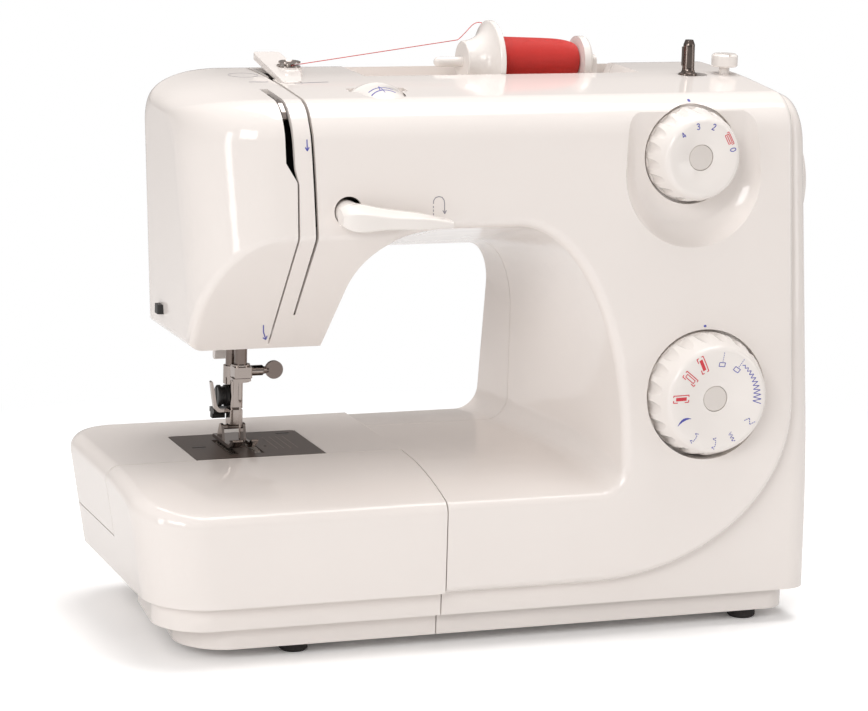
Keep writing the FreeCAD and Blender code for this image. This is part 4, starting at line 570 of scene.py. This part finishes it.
class SEWING_OT_case(bpy.types.Operator):
    """Moulded plastic of the covers, dials and levers"""
    bl_idname = "sewing.case"
    bl_label = "Case and controls"

    def execute(self, context):
        case = moulded_plastic("polished ABS case", tuple(look().case_colour), 0.1)
        finish_nodes(case, ["front_cover", "rear_cover", "side_cover", "face_cover", "thread_guide",
                            "free_arm_cover", "hook_cover", "extension_table", "base_tray",
                            "carry_handle", "foot_lifter"])
        dial = moulded_plastic("polished ABS controls", tuple(look().dial_colour), 0.16)
        finish_nodes(dial, ["stitch_length_dial", "pattern_dial", "reverse_lever", "tension_dial",
                            "handwheel", "spool_cap", "spool_pin", "spool_core", "bobbin_stopper"])
        cap = moulded_plastic("satin ABS caps", linear("#D9D2CC"), 0.34)
        finish_nodes(cap, ["stitch_dial_cap", "pattern_dial_cap", "handwheel_cap"])
        return {"FINISHED"}


class SEWING_OT_metal(bpy.types.Operator):
    """Plated steel of the needle group, guides and spindle, the dark needle plate, and the small
    black plastic and rubber pieces"""
    bl_idname = "sewing.metal"
    bl_label = "Needle group"

    def execute(self, context):
        # Painted reflection: both nickel plates are drawn darker than bare nickel, standing in for
        # the dark surroundings that plated parts reflect
        bright = plated_steel("bright nickel plate", linear("#A99F99"), 0.12, 1.5)
        finish_nodes(bright, ["needle_clamp", "needle", "presser_foot_holder", "presser_foot",
                              "take_up_lever", "guide_disc", "cover_screws"])
        dark = plated_steel("nickel plate dark as painted reflection", linear("#7C716B"), 0.16, 1.2)
        finish_nodes(dark, ["needle_bar", "presser_bar", "needle_clamp_screw", "winder_spindle"])
        plate = speckled("stoved enamel plate", tuple(look().plate_colour), 0.38, 0.8, 0.02)
        finish_nodes(plate, ["needle_plate"])
        blued = plated_steel("blued screw steel", linear("#5F5550"), 0.3, 0.8)
        finish_nodes(blued, ["needle_plate_screws"])
        satin = speckled("satin black plastic", linear("#1C1A19"), 0.4, 1.0, 0.02)
        finish_nodes(satin, ["ankle_screw", "foot_release_lever", "power_inlet", "power_switch",
                             "thread_cutter", "winder_carriage"])
        rubber = speckled("moulded black rubber", linear("#2A2625"), 0.7, 1.4, 0.05)
        finish_nodes(rubber, ["rubber_feet", "table_feet"])
        return {"FINISHED"}


class SEWING_OT_inside(bpy.types.Operator):
    """Castings, shafts, belts and motor behind the covers"""
    bl_idname = "sewing.inside"
    bl_label = "Works inside"

    def execute(self, context):
        # Painted shade: the frame, the shuttle race and the feed carrier are drawn near black,
        # standing in for the shade inside the machine, so that the slots in the covers look dark
        cast = speckled("casting dark as painted shade", linear("#3E3C3A"), 0.5, 1.6, 0.12)
        finish_nodes(cast, ["main_frame", "shuttle_race", "feed_carrier"])
        ground = plated_steel("ground tool steel", linear("#BDBAB6"), 0.25, 0.8)
        finish_nodes(ground, ["main_shaft", "lower_shaft", "motor_pulley", "feed_dog", "bobbin",
                              "bobbin_case", "shuttle_hook", "tension_unit"])
        belt = speckled("neoprene belt", linear("#1E1D1C"), 0.6, 1.0, 0.08)
        finish_nodes(belt, ["timing_belt", "motor_belt"])
        lacquer = speckled("black lacquered steel", linear("#242322"), 0.35, 0.9, 0.03)
        finish_nodes(lacquer, ["motor"])
        return {"FINISHED"}


class SEWING_OT_thread(bpy.types.Operator):
    """Wound thread on the spool and the taut thread to the guide"""
    bl_idname = "sewing.thread"
    bl_label = "Thread"

    def execute(self, context):
        material = spun_thread("red sewing thread", tuple(look().thread_colour))
        self.taut(context, material)
        self.winding(material)
        return {"FINISHED"}

    def taut(self, context, material):
        """Straight from the guide's groove to the spool cap, then over its rim to the winding."""
        points = np.array(THREAD_ROUTE) * MM
        run = points[1] - points[0]
        near = points[1] - run / np.linalg.norm(run) * BEND_LEAD * look().taut_thread
        route = np.vstack([points[:1], near[None], points[1:]])
        data = bpy.data.curves.new("upper_thread_line", "CURVE")
        data.dimensions = "3D"
        line = data.splines.new("NURBS")
        line.points.add(len(route) - 1)
        line.points.foreach_set("co", np.c_[route, np.ones(len(route))].ravel())
        line.order_u = 3
        line.use_endpoint_u = True
        line.resolution_u = 24
        data.bevel_depth = look().taut_thread / 2
        data.bevel_resolution = 3
        data.use_fill_caps = True
        data.materials.append(material)
        piece = bpy.data.objects.new("taut_thread", data)
        context.scene.collection.objects.link(piece)
        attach(piece, "machine")
        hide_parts("upper_thread")

    def winding(self, material):
        """One strand laid side by side: its middle line after t turns is at x(t), pack radius(x)
        plus half a strand, at angle 2 pi t. Under it lies a plain body of the pack's radius."""
        strand = look().strand / MM
        wound = WOUND_RIGHT - WOUND_LEFT - 2 * BARE_END
        turns = int(wound / (TURN_PITCH * strand))
        t = np.linspace(0, turns, turns * STEPS_A_TURN + 1)
        x = WOUND_LEFT + BARE_END + wound * t / turns
        r = pack_radius(x) + strand / 2
        angle = 2 * np.pi * t
        path = np.stack([x, SPOOL_Y + r * np.cos(angle), SPOOL_Z + r * np.sin(angle)], 1) * MM
        points, faces = tube_along(path, strand / 2 * MM, STRAND_SIDES)
        piece = make_piece("thread_strand", points, faces, material, "spool")
        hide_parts("thread_winding")
        middle = np.linspace(WOUND_LEFT, WOUND_RIGHT, BODY_RINGS)
        x = np.concatenate([[WOUND_LEFT], middle, [WOUND_RIGHT]])
        r = pack_radius(x)
        r[[0, -1]] = CORE_RADIUS
        angle = np.linspace(0, 2 * np.pi, BODY_SIDES, endpoint=False)
        rings = np.stack([np.broadcast_to(x[:, None], (len(x), BODY_SIDES)),
                          SPOOL_Y + r[:, None] * np.cos(angle),
                          SPOOL_Z + r[:, None] * np.sin(angle)], -1) * MM
        faces = grid_faces(len(x), BODY_SIDES, True)[:, ::-1].tolist()
        make_piece("thread_body", rings, faces, material, "spool")


class SEWING_OT_dial_signs(bpy.types.Operator):
    """Numbers and stitch signs printed on the dials"""
    bl_idname = "sewing.dial_signs"
    bl_label = "Dial signs"

    def execute(self, context):
        blue = ink("blue pad print", tuple(look().blue_ink))
        red = ink("red pad print", tuple(look().red_ink))
        self.stitch_dial(blue, red)
        self.pattern_dial(blue, red)
        self.tension_dial(blue)
        return {"FINISHED"}

    def stitch_dial(self, blue, red):
        """Four numbers that stand on the rim, and a buttonhole sign between the last two."""
        ribbons = []
        for sign, angle in (("4", 134.0), ("3", 103.0), ("2", 72.5), ("0", 14.5)):
            ribbons += number(sign, angle - 90, STITCH_DIAL + polar(15.9, angle), 2.9, 0.42)
        printed("stitch_dial_numbers", ribbons, "Y", "stitch_length_dial", blue, "stitch_dial")
        bar = [(-2.0, 0), (2.0, 0)]
        outline = [(-2.4, -0.9), (2.4, -0.9), (2.4, 0.9), (-2.4, 0.9), (-2.4, -0.9)]
        bracket = [(-3.2, 0.4), (-3.2, 1.6), (3.2, 1.6), (3.2, 0.4)]
        place = STITCH_DIAL + polar(15.7, 35.5)
        ribbons = [stroke(placed(route, -62, place), width)
                   for route, width in ((bar, 0.4), (outline, 0.35), (bracket, 0.35))]
        printed("stitch_dial_buttonhole", ribbons, "Y", "stitch_length_dial", red, "stitch_dial")

    def pattern_dial(self, blue, red):
        """Buttonholes, a crescent, dashed stitches, a zigzag that widens, and two needle places."""
        ribbons = (buttonhole(-62.0, PATTERN_DIAL + (-8.6, 17.4), True)
                   + buttonhole(-38.0, PATTERN_DIAL + (-14.8, 11.0), False)
                   + buttonhole(-1.0, PATTERN_DIAL + (-19.2, 1.2), True))
        printed("pattern_dial_buttonholes", ribbons, "Y", "pattern_dial", red, "pattern")
        t = np.linspace(-1, 1, 9)
        crescent = np.stack([4.0 * t, 1.4 * (1 - t * t)], 1)
        ribbons = [stroke(placed(crescent, 23, PATTERN_DIAL + (-17.0, -10.4)),
                          [0.2, 0.9, 1.3, 0.9, 0.2])]
        blind = [(-3.0, -0.8), (-2.3, 0.9), (-1.6, -0.8), (1.2, -0.8), (1.9, 0.9), (2.6, -0.8)]
        chevron = [(-2.4, -0.9), (-1.6, 0.9), (-0.8, -0.9), (0, 0.9), (0.8, -0.9), (1.6, 0.9),
                   (2.4, -0.9)]
        steps = [(-2.6, -1.3), (-0.9, 1.3), (0.9, -1.3), (2.6, 1.3)]
        for route, angle, place in ((blind, 50, (-11.6, -18.0)), (blind, 80, (-1.0, -21.3)),
                                    (chevron, 115, (8.4, -18.8)), (steps, 147, (17.6, -11.4))):
            ribbons += dashes(placed(route, angle, PATTERN_DIAL + place), 0.35, 0.75, 0.3)
        corners = 22
        share = np.linspace(0, 1, corners)
        swing = (0.45 + 1.8 * share) * np.where(np.arange(corners) % 2, 1, -1)
        zigzag = PATTERN_DIAL + polar(21.1 + swing, 53 - 60 * share)
        ribbons.append(stroke(zigzag, 0.35))
        box = [(-1.0, -1.5), (1.0, -1.5), (1.0, 1.5), (-1.0, 1.5), (-1.0, -1.5)]
        for angle in (84.0, 56.0):
            stitches = PATTERN_DIAL + polar(np.array([18.9, 23.6]), angle)
            ribbons += dashes(stitches, 0.32, 0.6, 0.4)
            ribbons.append(stroke(placed(box, angle, PATTERN_DIAL + polar(17.4, angle)), 0.35))
        printed("pattern_dial_signs", ribbons, "Y", "pattern_dial", blue, "pattern")

    def tension_dial(self, blue):
        """The number is stretched along the wheel, because it is read at a low angle."""
        x = np.linspace(-6.0, 6.0, 13)
        ribbons = number("4", 0, (0, 0), 3.6, 0.34)
        ribbons += [stroke(np.stack([x, drop - 0.022 * x * x], 1), 0.3) for drop in (-0.7, 0.9)]
        ribbons = [ribbon * (1.0, 2.6) + (-57.6, -34.0) for ribbon in ribbons]
        printed("tension_dial_number", ribbons, "Z", "tension_dial", blue, "tension")


class SEWING_OT_case_signs(bpy.types.Operator):
    """Arrows, dots and guide lines printed on the covers and the needle plate"""
    bl_idname = "sewing.case_signs"
    bl_label = "Case signs"

    def execute(self, context):
        blue = ink("blue pad print on the case", tuple(look().blue_ink))
        grey = ink("grey pad print", linear("#8D8890"))
        self.front(blue, grey)
        self.top(grey)
        self.threading(blue)
        self.plate()
        return {"FINISHED"}

    def front(self, blue, grey):
        """The lever's return arrow and a dot over each dial, with places as (x, z)."""
        loop = [(-39.8, 215.6), (-39.6, 217.2), (-38.6, 218.5), (-37.0, 218.9), (-35.4, 218.5),
                (-34.4, 217.2), (-34.2, 215.6), (-34.2, 211.4)]
        tail = [(-39.8, 214.6), (-39.8, 209.6)]
        ribbons = arrow(loop, 0.4, 1.6) + dashes(tail, 0.4, 1.0, 0.7)
        printed("lever_sign", ribbons, "Y", "front_cover", grey, "machine")
        ribbons = [stroke([(x - 0.7, z), (x + 0.7, z)], [0.7, 1.4, 0.7])
                   for x, z in ((95.5, 260.6), (100.4, 152.7))]
        printed("dial_marks", ribbons, "Y", "front_cover", blue, "machine")

    def top(self, grey):
        """A ring and a bar on each side of the seam, with places as (x, y)."""
        turn = np.linspace(0, 360, 33)
        ribbons = [stroke((-109.1, 20.3) + polar(7.1, turn), 0.3),
                   stroke([(-112.3, -0.2), (-103.1, -0.9)], 0.8)]
        printed("face_top_signs", ribbons, "Z", "face_cover", grey, "machine")
        ribbons = [stroke((-89.4, -5.0) + polar(2.0, turn), 0.4),
                   stroke([(-87.4, -4.9), (-73.8, -3.4)], 0.8)]
        printed("cover_top_signs", ribbons, "Z", "front_cover", grey, "machine")

    def threading(self, blue):
        """Two arrows along the thread's slots, with places as (x, z)."""
        ribbons = arrow([(-101.8, 246.8), (-101.7, 242.2)], 0.5, 1.7)
        ribbons += arrow([(-111.4, 154.0), (-110.4, 150.0), (-108.4, 146.2)], 0.5, 1.9)
        printed("face_signs", ribbons, "Y", "face_cover", blue, "machine")

    def plate(self):
        """Seam guides beside the needle, with places as (x, y)."""
        pale = ink("pale engraving", linear("#8A7E77"))
        ribbons = [stroke([(x, 8.0), (x, 34.0)], 0.35) for x in (-92.0, -88.5, -85.0, -81.5)]
        printed("plate_lines", ribbons, "Z", "needle_plate", pale, "machine")


class SEWING_PT_panel(bpy.types.Panel):
    """Buttons for the finishing steps, and the settings of the look"""
    bl_idname = "SEWING_PT_panel"
    bl_label = "Sewing machine"
    bl_space_type = "VIEW_3D"
    bl_region_type = "UI"
    bl_category = "Sewing machine"

    def draw(self, context):
        for operator in OPERATORS:
            self.layout.operator(operator.bl_idname)
        for name in SewingMachineLook.__annotations__:
            self.layout.prop(context.scene.sewing_machine, name)


OPERATORS = (SEWING_OT_stage, SEWING_OT_thread, SEWING_OT_case, SEWING_OT_metal, SEWING_OT_inside,
             SEWING_OT_dial_signs, SEWING_OT_case_signs)
CLASSES = (SewingMachineLook, *OPERATORS, SEWING_PT_panel)


def register():
    for cls in CLASSES:
        bpy.utils.register_class(cls)
    bpy.types.Scene.sewing_machine = bpy.props.PointerProperty(type=SewingMachineLook)


def unregister():
    del bpy.types.Scene.sewing_machine
    for cls in reversed(CLASSES):
        bpy.utils.unregister_class(cls)


def main():
    register()
    bpy.ops.sewing.stage()
    bpy.ops.sewing.thread()
    bpy.ops.sewing.case()
    bpy.ops.sewing.metal()
    bpy.ops.sewing.inside()
    bpy.ops.sewing.dial_signs()
    bpy.ops.sewing.case_signs()


if __name__ == "__main__":
    main()
